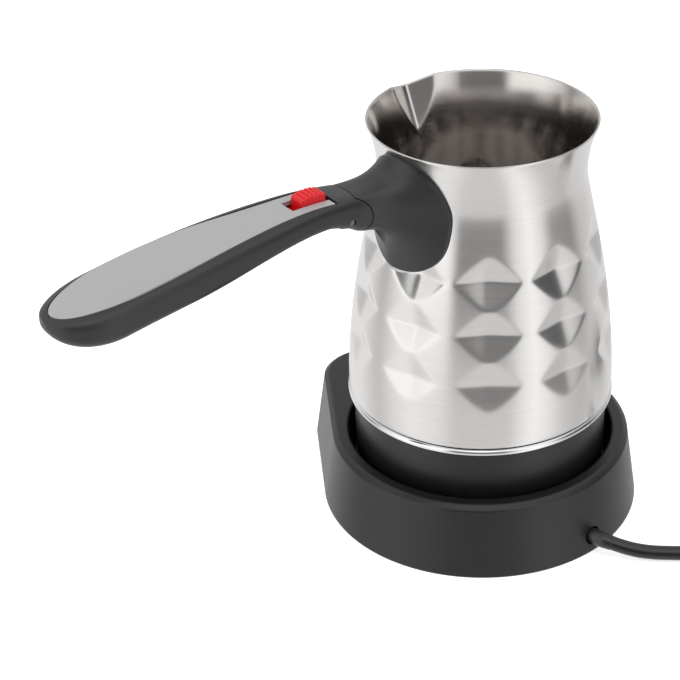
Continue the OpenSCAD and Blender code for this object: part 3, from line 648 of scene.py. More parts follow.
@dataclass
class Pot:
    """The steel wall with its dimples and spout, the bright bead and the heater's cup."""

    rim_z: float = 153.0
    rim_r: float = 40.2
    waist_z: float = 134.0
    waist_r: float = 36.4
    foot_z: float = 48.0
    foot_r: float = 48.1
    sheet: float = 0.8
    floor_z: float = 52.0
    columns: int = 10
    dimple_w: float = 20.2
    dimple_h: float = 18.4
    dimple_z: tuple[float, ...] = (72.7, 91.2, 109.7)
    dimple_depth: tuple[float, ...] = (2.0, 2.5, 3.0)
    follow: float = 0.52
    side_soft: float = 0.05
    side_sunk: float = 0.04
    rise_soft: float = 0.35
    edge_soft: float = 0.22
    press_turn: float = 0.45
    spout_reach: float = 3.7
    spout_drop: float = 3.3
    spout_w: float = 17.0
    spout_h: float = 19.0
    corner_in: float = 0.2
    spout_turn: float = 0.5
    lip_turn: float = 0.24
    spout_soft: float = 0.5
    tip_soft: float = 0.02
    floor_bend: float = 5.0
    around: int = 400

    def wall_curve(self) -> Points:
        """The wall's line (r, z) from foot to rim: two cubics that meet upright at the waist."""
        rise, top = self.waist_z - self.foot_z, self.rim_z - self.waist_z
        low = [(self.foot_r, self.foot_z), (self.foot_r, self.foot_z + 0.49 * rise),
               (self.waist_r, self.waist_z - 0.09 * rise), (self.waist_r, self.waist_z)]
        high = [(self.waist_r, self.waist_z), (self.waist_r, self.waist_z + 0.47 * top),
                (self.waist_r + 0.58 * (self.rim_r - self.waist_r), self.waist_z + 0.82 * top),
                (self.rim_r, self.rim_z)]
        u = np.linspace(0, 1, 60)
        return np.vstack([bezier(low, u), bezier(high, u)[1:]])

    def wall_r(self, z: Points) -> Points:
        """Radius of the plain wall at height z, read off its line."""
        curve = self.wall_curve()
        return np.interp(z, curve[:, 1], curve[:, 0])

    def dimpled(self, rho: Points, turn: Points, z: Points) -> Points:
        """Presses the diamonds into a wall.

        Each is a four-sided pyramid: on its own axis x runs outwards and u sideways, and its
        faces are x = A + B |u| + C |v|, with A the pressed radius and v the height over its
        middle. Along a ray at angle d that is rho = (A + C |v|) / (cos d - B |sin d|). Sheet
        keeps some of its own curve when it is pressed, so this is averaged with the wall less
        depth times (1 - |u| / half the width - |v| / half the height).

        Args:
            rho: Radius of the plain wall.
            turn: Angle about the pot, in radians.
            z: Height.

        Returns:
            The radius with its dimples.
        """
        step = 2 * math.pi / self.columns
        d = (turn % step) - step / 2
        side = np.sqrt(np.sin(d) ** 2 + self.side_soft**2) - self.side_sunk
        for mid, deep in zip(self.dimple_z, self.dimple_depth):
            r = float(self.wall_r(mid))
            edge = math.sqrt(r * r - self.dimple_w**2 / 4)
            a = r - deep
            b = (edge - a) / (self.dimple_w / 2)
            v = z - mid
            tip = self.wall_r(mid + np.sign(v) * self.dimple_h / 2)
            rise = np.sqrt(v * v + self.rise_soft**2) - self.rise_soft
            face = a + (tip - a) / (self.dimple_h / 2) * rise
            face = face / np.maximum(0.2, np.cos(d) - b * side)
            share = 1 - rho * side / (0.5 * self.dimple_w) - rise / (0.5 * self.dimple_h)
            face = (1 - self.follow) * face + self.follow * (rho - deep * share)
            inside = (np.abs(v) < self.dimple_h) & (np.abs(d) < self.press_turn)
            rho = np.where(inside, soft_less(rho, face, self.edge_soft), rho)
        return rho

    @property
    def corner_x(self) -> float:
        """How far out the V's corners stand on the rim."""
        return math.sqrt(self.rim_r**2 - self.spout_w**2 / 4) - self.corner_in

    def off_tip(self, turn: Points) -> Points:
        """Angle from the spout's tip at -Y, within half a turn either way."""
        return (turn + math.pi / 2 + math.pi) % (2 * math.pi) - math.pi

    def spouted(self, rho: Points, turn: Points, z: Points) -> Points:
        """Draws the spout's V out of the wall, towards -Y.

        Each side is the plane through the V's foot, its tip and the corner on the rim, so along
        a ray rho is its constant less nz times the height, over nx cos d + nu |sin d|.

        Args:
            rho: Radius of the wall.
            turn: Angle about the pot, in radians.
            z: Height.

        Returns:
            The greater of wall and V, blended.
        """
        z0 = self.rim_z - self.spout_h
        foot = np.array([float(self.wall_r(z0)), 0, 0])
        tip = np.array([self.rim_r + self.spout_reach, 0, self.spout_h - self.spout_drop])
        corner = np.array([self.corner_x, self.spout_w / 2, self.spout_h])
        nx, nu, nz = np.cross(tip - foot, corner - foot)
        d = self.off_tip(turn)
        side = np.sqrt(np.sin(d) ** 2 + self.tip_soft**2) - self.tip_soft
        face = (nx * foot[0] - nz * (z - z0)) / (nx * np.cos(d) + nu * side)
        near = np.abs(d) < self.spout_turn
        return np.where(near, soft_more(rho, np.where(near, face, 0), self.spout_soft), rho)

    def lip_z(self, turn: Points) -> Points:
        """Height of the rim, which falls towards the spout's tip along the V's top plane."""
        d = self.off_tip(turn)
        z = np.full_like(turn, self.rim_z)
        reach = self.rim_r + self.spout_reach - self.corner_x
        for _ in range(6):
            out = self.spouted(self.wall_r(z), turn, z) * np.cos(d) - self.corner_x
            fall = np.where(np.abs(d) < self.lip_turn, self.spout_drop * clamp(out / reach), 0)
            z = self.rim_z - fall
        return z

    def wall_grid(self) -> Points:
        """The whole sheet as one closed skin.

        Rows run from the middle of the floor out and up the inside, over the rolled rim, down
        the outside and back under the floor. A row's height is a share of the rim's own height
        above the waist, so that the rows close up towards the spout's lower lip.
        """
        turn = round_angles(self.around)[None, :]
        lip = self.lip_z(turn)
        t, bend = self.sheet / 2, self.floor_bend

        def side(z: Points, off: Points) -> Points:
            """Points of the wall moved off its line, at heights stretched up to the lip."""
            z = z[:, None] + 0 * turn
            rise, full = lip - self.waist_z, self.rim_z - self.waist_z
            high = self.waist_z + (z - self.waist_z) * rise / full
            z = np.where(z > self.waist_z, high, z)
            rho = self.spouted(self.dimpled(self.wall_r(z), turn, z), turn, z) + off[:, None]
            return np.stack([rho * np.cos(turn), rho * np.sin(turn), z], axis=-1)

        roll = np.radians(np.linspace(10, 170, 7))
        below_rim = self.rim_z - t - 0.6
        up = np.concatenate([np.linspace(self.floor_z + bend, 84, 26), np.linspace(85.4, 124, 34),
                             np.linspace(125.5, below_rim, 22)])
        down = np.concatenate([np.linspace(below_rim, 126, 22), np.linspace(125, 60, 100),
                               np.linspace(59, self.foot_z + 0.8, 10)])
        inner = side(up, np.full(len(up), -self.sheet))
        outer = side(down, np.zeros(len(down)))
        rim = side(np.full(7, self.rim_z - t) + t * np.sin(roll), -t - t * np.cos(roll))
        hem_in = np.array([-0.12, -0.38, -0.62, -self.sheet])
        hem = side(self.foot_z + np.array([0.5, 0.2, 0.05, 0]), hem_in)
        under = self.floor_z - self.sheet
        r_in = self.foot_r - self.sheet

        foot = arc((r_in - bend, self.floor_z + bend), bend - 0.25, -88, -6, 7)
        floor = [(r, self.floor_z) for r in (1.5, 12, 24, 34)] + foot.tolist()
        back = [(r, under) for r in (r_in, r_in - 0.5, 20, 1.5)]
        first, last = (np.stack([circle(r, z, self.around) for r, z in rings])
                       for rings in (floor, back))
        return np.concatenate([first, inner, rim, outer, hem, last])

    def bead(self) -> Points:
        """The bead's closed section (r, z): a half round outside a flat band."""
        top, low, out = self.foot_z - 0.35, self.foot_z - 3.1, self.foot_r + 0.3
        half = (top - low) / 2
        face = arc((out - half, (top + low) / 2), half, -90, 90, 17)
        return np.vstack([[[46.5, low]], face, [[46.5, top]]])

    def cup(self) -> Points:
        """The heater cup's section (r, z), from its throat out and up and back down inside."""
        outer = rounded([(20.7, 14.5), (43.4, 14.5), (45.8, 17.5), (46.4, 44.9), (46.4, 50.0),
                         (44.4, 50.0)], [0, 1.2, 2.0, 6.0, 0.3, 0], 7)
        inner = rounded([(43.8, 48.0), (43.2, 16.9), (22.7, 16.9), (22.7, 26.5), (20.7, 26.5)],
                        [0, 1.0, 0.6, 0.4, 0], 5)
        return np.vstack([outer, inner])

    def build(self) -> None:
        """Makes and dresses the pot's pieces."""
        grid = self.wall_grid()
        wall = piece(mesh_from_grid("pot_wall", grid), Finish.SHEET, "pot", "pot_body")
        # Faces inside the sheet take the darker INSIDE finish: painted shade inside the pot.
        wall.data.materials.append(Finish.INSIDE.material())
        middle = np.empty(3 * len(wall.data.polygons))
        wall.data.polygons.foreach_get("center", middle)
        x, y, z = middle.reshape(-1, 3).T / MM
        r = np.hypot(x, y)
        turn = np.arctan2(y, x)
        line = self.spouted(self.dimpled(self.wall_r(z), turn, z), turn, z) - self.sheet / 2
        inner = (r < line) & (z > self.floor_z - self.sheet / 2)
        wall.data.polygons.foreach_set("material_index", inner.astype(np.int32))
        for name, profile, n, finish, node in (
                ("foot_bead", self.bead(), 240, Finish.CHROME, "trim_ring"),
                ("heater_cup", self.cup(), 200, Finish.BASE_BLACK, "heater_housing")):
            ring = mesh_from_grid(name, spin_profile(profile, n), close=Close.LOOP)
            piece(ring, finish, "pot", node)


# ---- Handle


@dataclass
class Arm:
    """The skin that collar and grip share: rounded sections carried along +X."""

    pot: Pot
    hinge_x: float = 61.5
    hinge_z: float = 135.7
    nose_r: float = 7.7
    gap: float = 0.3
    tongue_w: float = 4.0
    knuckle_r: float = 3.9
    end: float = 171.8
    end_l: float = 22.0
    neck_w: float = 8.5
    grip_w: float = 14.9
    neck_t: float = 10.2
    grip_t: float = 14.3
    crest_z: float = 145.2
    tail_fall: float = 8.9
    front_fall: float = 1.6
    collar_w: float = 18.3
    collar_side: float = 3.2
    collar_z: float = 126.0
    collar_up: float = 24.6
    collar_down: float = 15.2
    collar_rim: float = 1.6
    flare_powers: tuple[float, ...] = (4, 3.4, 2.8, 1.2)
    deeper: tuple[Triple, ...] = ((2.6, 0.0, 13.0), (2.4, 3.5, 6.0))
    seam_r: float = 27.0
    past: float = 30.0
    dense: int = 720

    @property
    def hinge(self) -> Triple:
        """The middle of the hinge."""
        return (self.hinge_x, 0, self.hinge_z)

    def box(self, low: Row, high: Row) -> Object:
        """A cutter box between two corners given from the middle of the hinge."""
        return block(np.add(self.hinge, low), np.add(self.hinge, high))

    @property
    def wall_x(self) -> float:
        """Where the collar's middle meets the wall."""
        return self.pot.rim_r - 1.7

    @property
    def rim_x(self) -> float:
        """Outer face of the collar's rim."""
        return self.wall_x + self.collar_rim

    @property
    def neck_x(self) -> float:
        """Start of the neck."""
        return self.hinge_x - 3

    @property
    def crest_x(self) -> float:
        """The highest place of the grip."""
        return self.hinge_x + 18.5

    @property
    def widest_x(self) -> float:
        """The widest place of the grip."""
        return self.hinge_x + 76.5

    def flare(self, x: Points, power: float) -> Points:
        """1 at the wall and 0 from the neck on, to a power."""
        return clamp(1 - (x - self.rim_x) / (self.neck_x + 2 - self.rim_x)) ** power

    def rounding(self, x: Points) -> Points:
        """The half-ellipse that closes the tail."""
        return half_ellipse(x, self.end, self.end_l)

    def top(self, x: Points) -> Points:
        """Height of the arm's top without its flare: two parabolas that meet at the crest."""
        c = np.maximum(x, self.neck_x)
        front = self.front_fall * ((self.crest_x - c) / (self.crest_x - self.neck_x)) ** 2
        tail = self.tail_fall * ((c - self.crest_x) / (self.end - self.crest_x)) ** 2
        return self.crest_z - np.where(c < self.crest_x, front, tail)

    def thick(self, x: Points) -> Points:
        """Thickness without the flare: deep at the hinge, thin under the button, then fuller.

        Each step of deeper adds its height up to its start before the neck, and eases off over
        its length.
        """
        body = self.neck_t + (self.grip_t - self.neck_t) * smooth((x - self.hinge_x - 14) / 50)
        for more, start, length in self.deeper:
            body = body + more * (1 - smooth((x - self.neck_x + start) / length))
        return body * (0.1 + 0.9 * self.rounding(x))

    def width(self, x: Points) -> Points:
        """Half-width of the arm at x."""
        g = self.flare(x, 3)
        u = clamp((x - self.neck_x) / (self.widest_x - self.neck_x))
        bare = self.neck_w + (self.grip_w - self.neck_w) * np.sin(np.pi / 2 * u) ** 1.15
        return bare * self.rounding(x) * (1 - g) + self.collar_w * g

    def rings(self, x: Points, inset: float = 0.0, n: int = 112) -> Points:
        """Sections of the arm: y is w times the signed cosine to 2/e, z the sine likewise.

        Top, underside, middle and e each flare towards the wall by a power of their own.

        Args:
            x: Stations along the arm.
            inset: How far inside the skin they lie.
            n: Points on a ring.

        Returns:
            Stations by points by three, evenly spaced round each ring.
        """
        x = x[:, None]
        t3, t2, tm, g = (self.flare(x, power) for power in self.flare_powers)
        up = self.top(x) * (1 - t3) + (self.collar_z + self.collar_up) * t3
        down = (self.top(x) - self.thick(x)) * (1 - t2) + (self.collar_z - self.collar_down) * t2
        mid = (self.top(x) - self.thick(x) / 2) * (1 - tm) + self.collar_z * tm
        a = np.radians(np.linspace(0, 360, self.dense, endpoint=False))[None, :]
        c, s = np.cos(a), np.sin(a)
        near, far = 2.5 + 0.3 * g - 2 * g * (1 - g), 2.5 - 1.1 * g - 1.6 * g * (1 - g)
        e = np.where(s >= 0, 4.5 - 2.4 * g, np.where(c < 0, far, near))
        h = np.where(s >= 0, np.maximum(0.3, up - mid - inset), np.maximum(0.3, mid - down - inset))
        y = np.maximum(0.4, self.width(x) - inset) * signed_power(c, 2 / e)
        z = mid + h * signed_power(s, 2 / e)
        return np.stack([spaced(np.vstack([ring, ring[:1]]), n, False) for ring in along_x(x, y, z)])

    def hugged(self, rings: Points, x: Points) -> Points:
        """Bends sections round the pot's wall, fully at the wall and not at the neck."""
        g = self.flare(x, 1)[:, None]
        y = rings[..., 1] + self.collar_side * g * g
        reach = np.sqrt(self.pot.wall_r(rings[..., 2]) ** 2 - y * y) - self.wall_x
        return np.stack([rings[..., 0] + g * reach, y, rings[..., 2]], axis=-1)


@dataclass
class Collar:
    """The black moulding that flares from the hinge onto the pot."""

    arm: Arm
    root_l: float = 10.5
    root_t: float = 3.2
    well: Triple = (11.8, 1.9, 109.5)
    well_r: float = 5.4
    well_half: float = 19.5
    pin_hole_r: float = 1.3
    wall_from: int = 38
    wall_clear: float = 0.1
    over_z: float = 160.0

    def build(self) -> None:
        """Carves the collar out of its own skin: nose pocket, seam, screw well and tongue."""
        a = self.arm
        x = np.concatenate([[a.wall_x - 6], np.linspace(a.rim_x - 0.7, a.rim_x, 3),
                            a.rim_x + (a.hinge_x + 2 - a.rim_x) * np.linspace(0.01, 1, 64) ** 1.25])
        held = np.maximum(x, a.rim_x)
        skin = a.hugged(a.rings(held), held)
        skin[..., 0] += np.minimum(0, x - a.rim_x)[:, None]
        body = mesh_object(mesh_from_grid("collar_shell", skin))
        hx, hz = a.hinge_x, a.hinge_z
        back, side, well_z = self.well
        wall = a.pot.wall_curve()[self.wall_from:] + [self.wall_clear, 0]
        over = self.over_z
        core = np.vstack([wall, [[wall[-1, 0], over], [0.5, over]]])
        inner = cutter(spin_profile(core, 160))
        knuckle = drum(a.hinge, a.knuckle_r, a.tongue_w, 1)
        root = a.box((-self.root_l, -a.tongue_w, -self.root_t), (0, a.tongue_w, self.root_t))
        carve(body, removing(
            drum(a.hinge, a.nose_r + a.gap, a.past, 1, 128),
            a.box((0, -a.past, -a.past), (20, a.past, a.past)),
            drum((a.neck_x + a.seam_r, 0, hz + 15), a.seam_r + a.gap, 15, 2, 360),
            inner,
            drum((hx - back, side, well_z), self.well_r, self.well_half, 2, 64),
        ) + [(Cut.ADD, carve(knuckle, [(Cut.ADD, root)]))] + removing(
            drum(a.hinge, self.pin_hole_r, 20, 1, 48),
        ))
        piece(body, Finish.BLACK, "pot", "handle_collar")


@dataclass
class Grip:
    """The folding grip: black shell, grey panel and its slot."""

    arm: Arm
    wall: float = 2.0
    pin_hole_r: float = 1.27
    panel_t: float = 1.6
    panel_edge: float = 0.35
    panel_crown: float = 0.22
    seat_clear: float = 0.28
    sunk: float = 0.45
    sunk_less: float = 0.3
    sunk_to: float = 33.0
    sunk_l: float = 25.0
    narrow_to: float = 10.5
    way_start: float = 0.45
    way_l: float = 18.0
    way_side: float = 1.4
    bolt_w: float = 3.6
    bolt_up: float = 5.4
    fold_clear: float = 3.0
    tongue_up: float = 3.4
    w0: float = 7.0
    w1: float = 11.9
    tip: float = 2.6
    tip_l: float = 28.0
    button_w: float = 3.1
    slot_end: float = 81.6

    @property
    def front(self) -> float:
        """Front edge of the panel."""
        return self.arm.hinge_x + 5.8

    def panel_top(self, x: Points) -> Points:
        """Height of the panel's face: the arm's top, sunk a little more at the front."""
        ease = smooth((x - self.arm.hinge_x - self.sunk_to) / self.sunk_l)
        return self.arm.top(x) - self.sunk + self.sunk_less * ease

    @property
    def under_front(self) -> float:
        """Height of the panel's underside at its front."""
        return float(self.panel_top(np.array([self.front]))[0]) - self.panel_t

    def panel_half(self, x: Points, clear: float) -> Points:
        """Half-width of the panel: a squared sine to the widest place, closed by a half-ellipse."""
        a, end = self.arm, self.arm.end - self.tip
        share = clamp((x - a.hinge_x - self.narrow_to) / (a.widest_x - a.hinge_x - self.narrow_to))
        bare = self.w0 + (self.w1 - self.w0) * np.sin(np.pi / 2 * share) ** 2
        return clear + np.maximum(0.5, half_ellipse(x, end, self.tip_l) * bare)

    def stations(self, clear: float) -> Points:
        """Stations of the panel, closer towards its round end; the front gap is wider."""
        end = self.arm.end - self.tip
        a = np.radians(np.linspace(0, 88, 34))
        body = np.linspace(self.front - 2.6 * clear, end - self.tip_l, 60)[:-1]
        return np.concatenate([body, end - self.tip_l * (1 - np.sin(a)), [end + 2 * clear - 0.005]])

    def strip(self, down: float, up: float, clear: float) -> Points:
        """Square-edged sections of the panel's seat."""
        x = self.stations(clear)
        w, t = self.panel_half(x, clear), self.panel_top(x)
        ring = [(w, t - down), (w, t + up), (-w, t + up), (-w, t - down)]
        return np.stack([np.stack([x, y, z], axis=-1) for y, z in ring], axis=1)

    def panel_grid(self) -> Points:
        """The panel's sections, with a face that is crowned behind the button's slot."""
        x = self.stations(0)[:, None]
        t = self.panel_top(x)
        face = np.linspace(1, -1, 25)[None, 1:-1]
        crown = self.panel_crown * (1 - face**2) * smooth((x - self.slot_end) / 12)
        turn = np.radians(np.linspace(0, 90, 6))[None, :]
        half, low = self.panel_half(x, 0), t - self.panel_t
        y, z = edged(half, t, low, self.panel_edge, turn, face, crown, 0 * x)
        return along_x(x, y, z)

    def build(self) -> None:
        """Makes the shell by carving its skin, and the panel with the button's slot."""
        a, hx, hz = self.arm, self.arm.hinge_x, self.arm.hinge_z
        turn = np.radians(np.linspace(0, 89.6, 40))
        x = np.concatenate([np.linspace(hx - a.nose_r - 1, a.end - a.end_l, 110)[:-1],
                            a.end - a.end_l * (1 - np.sin(turn))])
        shell = mesh_object(mesh_from_grid("grip_body", a.rings(x)))
        nose = drum(a.hinge, a.nose_r, a.past, 1, 192)
        wedge = carve(drum((a.neck_x + a.seam_r, 0, hz + 12), a.seam_r, 10, 2, 360),
                      [(Cut.KEEP, a.box((-10, -a.past, 2), (2, a.past, a.past)))])
        rest = block((hx, -a.past, 100), (hx + 150, a.past, 160))
        keep = carve(nose, [(Cut.ADD, rest), (Cut.ADD, wedge)])
        inside = np.concatenate([[self.front + 0.3], np.linspace(hx + 12, a.end - 20, 24),
                                 [a.end - 13, a.end - 8]])
        hollow = cutter(a.rings(inside, self.wall, 40))
        seat = cutter(self.strip(self.panel_t + 0.05, 6, self.seat_clear))
        skirt = self.under_front - 0.4
        bw, sw = self.button_w, a.tongue_w + a.gap
        way = block((self.front + self.way_start, -bw - self.way_side, skirt - 1.8),
                    (self.front + self.way_l, bw + self.way_side, skirt + 0.8))
        carve(shell, [(Cut.KEEP, keep)] + removing(
            hollow,
            seat,
            way,
            a.box((0, -self.bolt_w, -1), (10, self.bolt_w, self.bolt_up)),
            drum(a.hinge, a.knuckle_r + a.gap, sw, 1),
            a.box((-20, -sw, -a.past), (self.fold_clear, sw, 0)),
            a.box((-20, -sw, -1), (0, sw, self.tongue_up)),
            drum(a.hinge, self.pin_hole_r, 20, 1, 48),
        ))
        piece(shell, Finish.BLACK, "handle", "grip_shell")
        panel = mesh_object(mesh_from_grid("grip_inlay", self.panel_grid()))
        slot = block((self.front - 2, -bw - 0.3, 130), (self.slot_end, bw + 0.3, 160))
        carve(panel, removing(slot))
        piece(panel, Finish.GREY, "handle", "grip_panel")


@dataclass
class Button:
    """The red slide that frees the handle."""

    grip: Grip
    length: float = 10.0
    height: float = 3.2
    ribs: int = 6
    arch_r: float = 14.0
    groove: float = 0.6
    end_r: float = 0.9
    edge_r: float = 0.8
    front_gap: float = 0.8
    skirt_t: float = 0.9
    skirt_w: float = 1.0
    skirt_l: float = 3.4
    stations: int = 121

    def build(self) -> None:
        """Carries a rounded section along the button; its top arches and dips between ribs.

        The top is an arc less a groove, the sixth power of the cosine of the ribs' own angle; both
        ends close on a quarter round.
        """
        g, w = self.grip, self.grip.button_w
        x0 = g.front + self.front_gap
        mid = x0 + self.length / 2
        cap = float(g.panel_top(np.array([mid]))[0]) + self.height
        low = g.under_front - self.skirt_t
        s = np.linspace(0, 1, self.stations)[:, None]
        x = x0 + self.length * s
        from_end = np.minimum(s, 1 - s)
        arch = cap - self.arch_r + np.sqrt(self.arch_r**2 - (x - mid) ** 2)
        phase = (x - x0) / self.length * self.ribs * math.pi
        groove = self.groove * np.abs(np.cos(phase)) ** 6 * smooth(from_end * 14)
        close = np.sqrt(1 - clamp(1 - from_end * self.length / self.end_r) ** 2)
        top, half = arch - self.end_r * (1 - close), w - 0.5 * (1 - close)
        turn = np.radians(np.linspace(0, 90, 9))[None, :]
        face = np.linspace(1, -1, 15)[None, 1:-1]
        y, z = edged(half, top, low, self.edge_r, turn, face, -groove, -groove)
        skirt = block((x0, -w - self.skirt_w, low - self.skirt_t),
                      (x0 + self.length + self.skirt_l, w + self.skirt_w, low + 0.5))
        button = mesh_object(mesh_from_grid("release_slide_cap", along_x(x, y, z)))
        piece(carve(button, [(Cut.ADD, skirt)]), Finish.RED, "release", "release_button")


@dataclass
class LatchSpring:
    """The coil behind the latch bolt, which shortens as the release slides."""

    wire_r: float = 0.27
    turns: int = 9
    per_turn: int = 20
    travel: float = 3.0

    def build(self) -> None:
        """Winds the wire between the ends of its solid.

        The wire's middle turns about the bolt's axis at one radius while it runs along it. Its
        round section is spanned by that radius and by the run's cross product with it.
        """
        low, high = (np.array(corner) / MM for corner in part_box("latch_spring"))
        mid = (low + high) / 2
        r = (high[2] - low[2]) / 2 - self.wire_r
        a = np.linspace(0, 2 * math.pi * self.turns, self.turns * self.per_turn)
        x = np.linspace(low[0] + self.wire_r, high[0] - self.wire_r, len(a)) - mid[0]
        radial = np.stack([0 * a, np.cos(a), np.sin(a)], axis=-1)
        line = r * radial + x[:, None] * [1, 0, 0]
        run = np.gradient(line, axis=0)
        other = np.cross(run / np.linalg.norm(run, axis=1, keepdims=True), radial)
        t = round_angles(10)[None, :, None]
        section = np.cos(t) * radial[:, None] + np.sin(t) * other[:, None]
        wire = mid + line[:, None] + self.wire_r * section
        coil = piece(mesh_from_grid("latch_coil", wire), Finish.STEEL, "handle", "latch_spring")
        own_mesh(coil)


# ---- Base


@dataclass
class PowerBase:
    """The round base with its blunt tail, its well and the way out for its cord."""

    cord: "MainsCord"
    height: float = 28.3
    r: float = 58.8
    lean: float = 4.1
    tail_x: float = 11.0
    tail_y: float = 54.5
    tail_r: float = 21.0
    well_r: float = 48.7
    well_z: float = 14.2
    lip: float = 1.3
    draft: float = 1.2
    cover: float = 2.4
    skin_z: float = 12.0
    skirt_z: float = 2.7
    top_t: float = 2.4
    bend: float = 1.4
    hub_r: float = 15.1
    exit_r: float = 3.5
    around: int = 420

    def outline(self, inset: float, z: float) -> Points:
        """The base's outline at a height.

        For each outward direction it is the furthest point of three rounds: the centre of the
        one that reaches furthest that way, plus its radius along the direction.
        """
        a = round_angles(self.around)
        n = np.stack([np.cos(a), np.sin(a)], axis=-1)
        shrink = self.lean * z / self.height + inset
        centres = np.array([[0, 0], [-self.tail_x, -self.tail_y], [self.tail_x, -self.tail_y]], float)
        radii = np.array([self.r, self.tail_r, self.tail_r]) - shrink
        best = np.argmax(n @ centres.T + radii, axis=1)
        edge = centres[best] + radii[best][:, None] * n
        return np.column_stack([edge, np.full(self.around, z)])

    def cover_grid(self) -> Points:
        """Rows of the cover: up the leaning wall, round the shoulder, over the top, down the
        well to the hub, then back inside to the skirt."""
        h, soft, b = self.height, self.lip, self.bend
        under, inside = h - self.top_t, self.well_r + self.cover
        foot = ((0.25, 0.2), (0.05, 0.45), (0, 0.9))
        shoulder = ((0.0, 1.75), (0.08, 1.55), (0.28, 1.35), (1.1, 0.45), (1.4, 0.2), (1.8, 0.04),
                    (2.2, 0.0))
        rows = [self.outline(i, z) for i, z in foot]
        rows += [self.outline(0, z) for z in np.linspace(2, under, 14)]
        rows += [self.outline(i, h - d) for i, d in shoulder]
        lip = [(self.well_r + soft - soft * math.sin(a), h - soft + soft * math.cos(a))
               for a in np.radians(np.linspace(0, 84, 8))]
        wall = [(self.well_r - self.draft * (h - z) / h, z) for z in (25, 20, 16.2)]
        turn_in = [(self.well_r - self.draft - b + b * math.cos(a), self.well_z + b - b * math.sin(a))
                   for a in np.radians(np.linspace(15, 90, 6))]
        floor = [(r, self.well_z) for r in (40, 28, self.hub_r + 0.3)] + [(self.hub_r, 14.0)]
        back = [(r, self.skin_z) for r in (self.hub_r, 30, inside)] + [(inside, under)]
        well = [circle(r, z, self.around) for r, z in lip + wall + turn_in + floor + back]
        last = rows[-1]
        rows += [last + (well[0] - last) * t for t in (0.06, 0.5, 0.94)] + well
        skirt = ((self.cover, under), (self.cover, self.skirt_z), (1.2, self.skirt_z), (1.2, 0.2))
        rows += [self.outline(i, z) for i, z in skirt]
        return np.stack(rows)

    def build(self) -> None:
        """Makes the cover."""
        grid = self.cover_grid()
        cover = mesh_object(mesh_from_grid("base_shell", grid, close=Close.LOOP))
        way = self.cord.sleeve_line()[8:78]
        carve(cover, removing(cutter(self.cord.tube_grid(way, np.full(len(way), self.exit_r), 40))))
        piece(cover, Finish.BASE_BLACK, "base", "base_cover")


# ---- Cord


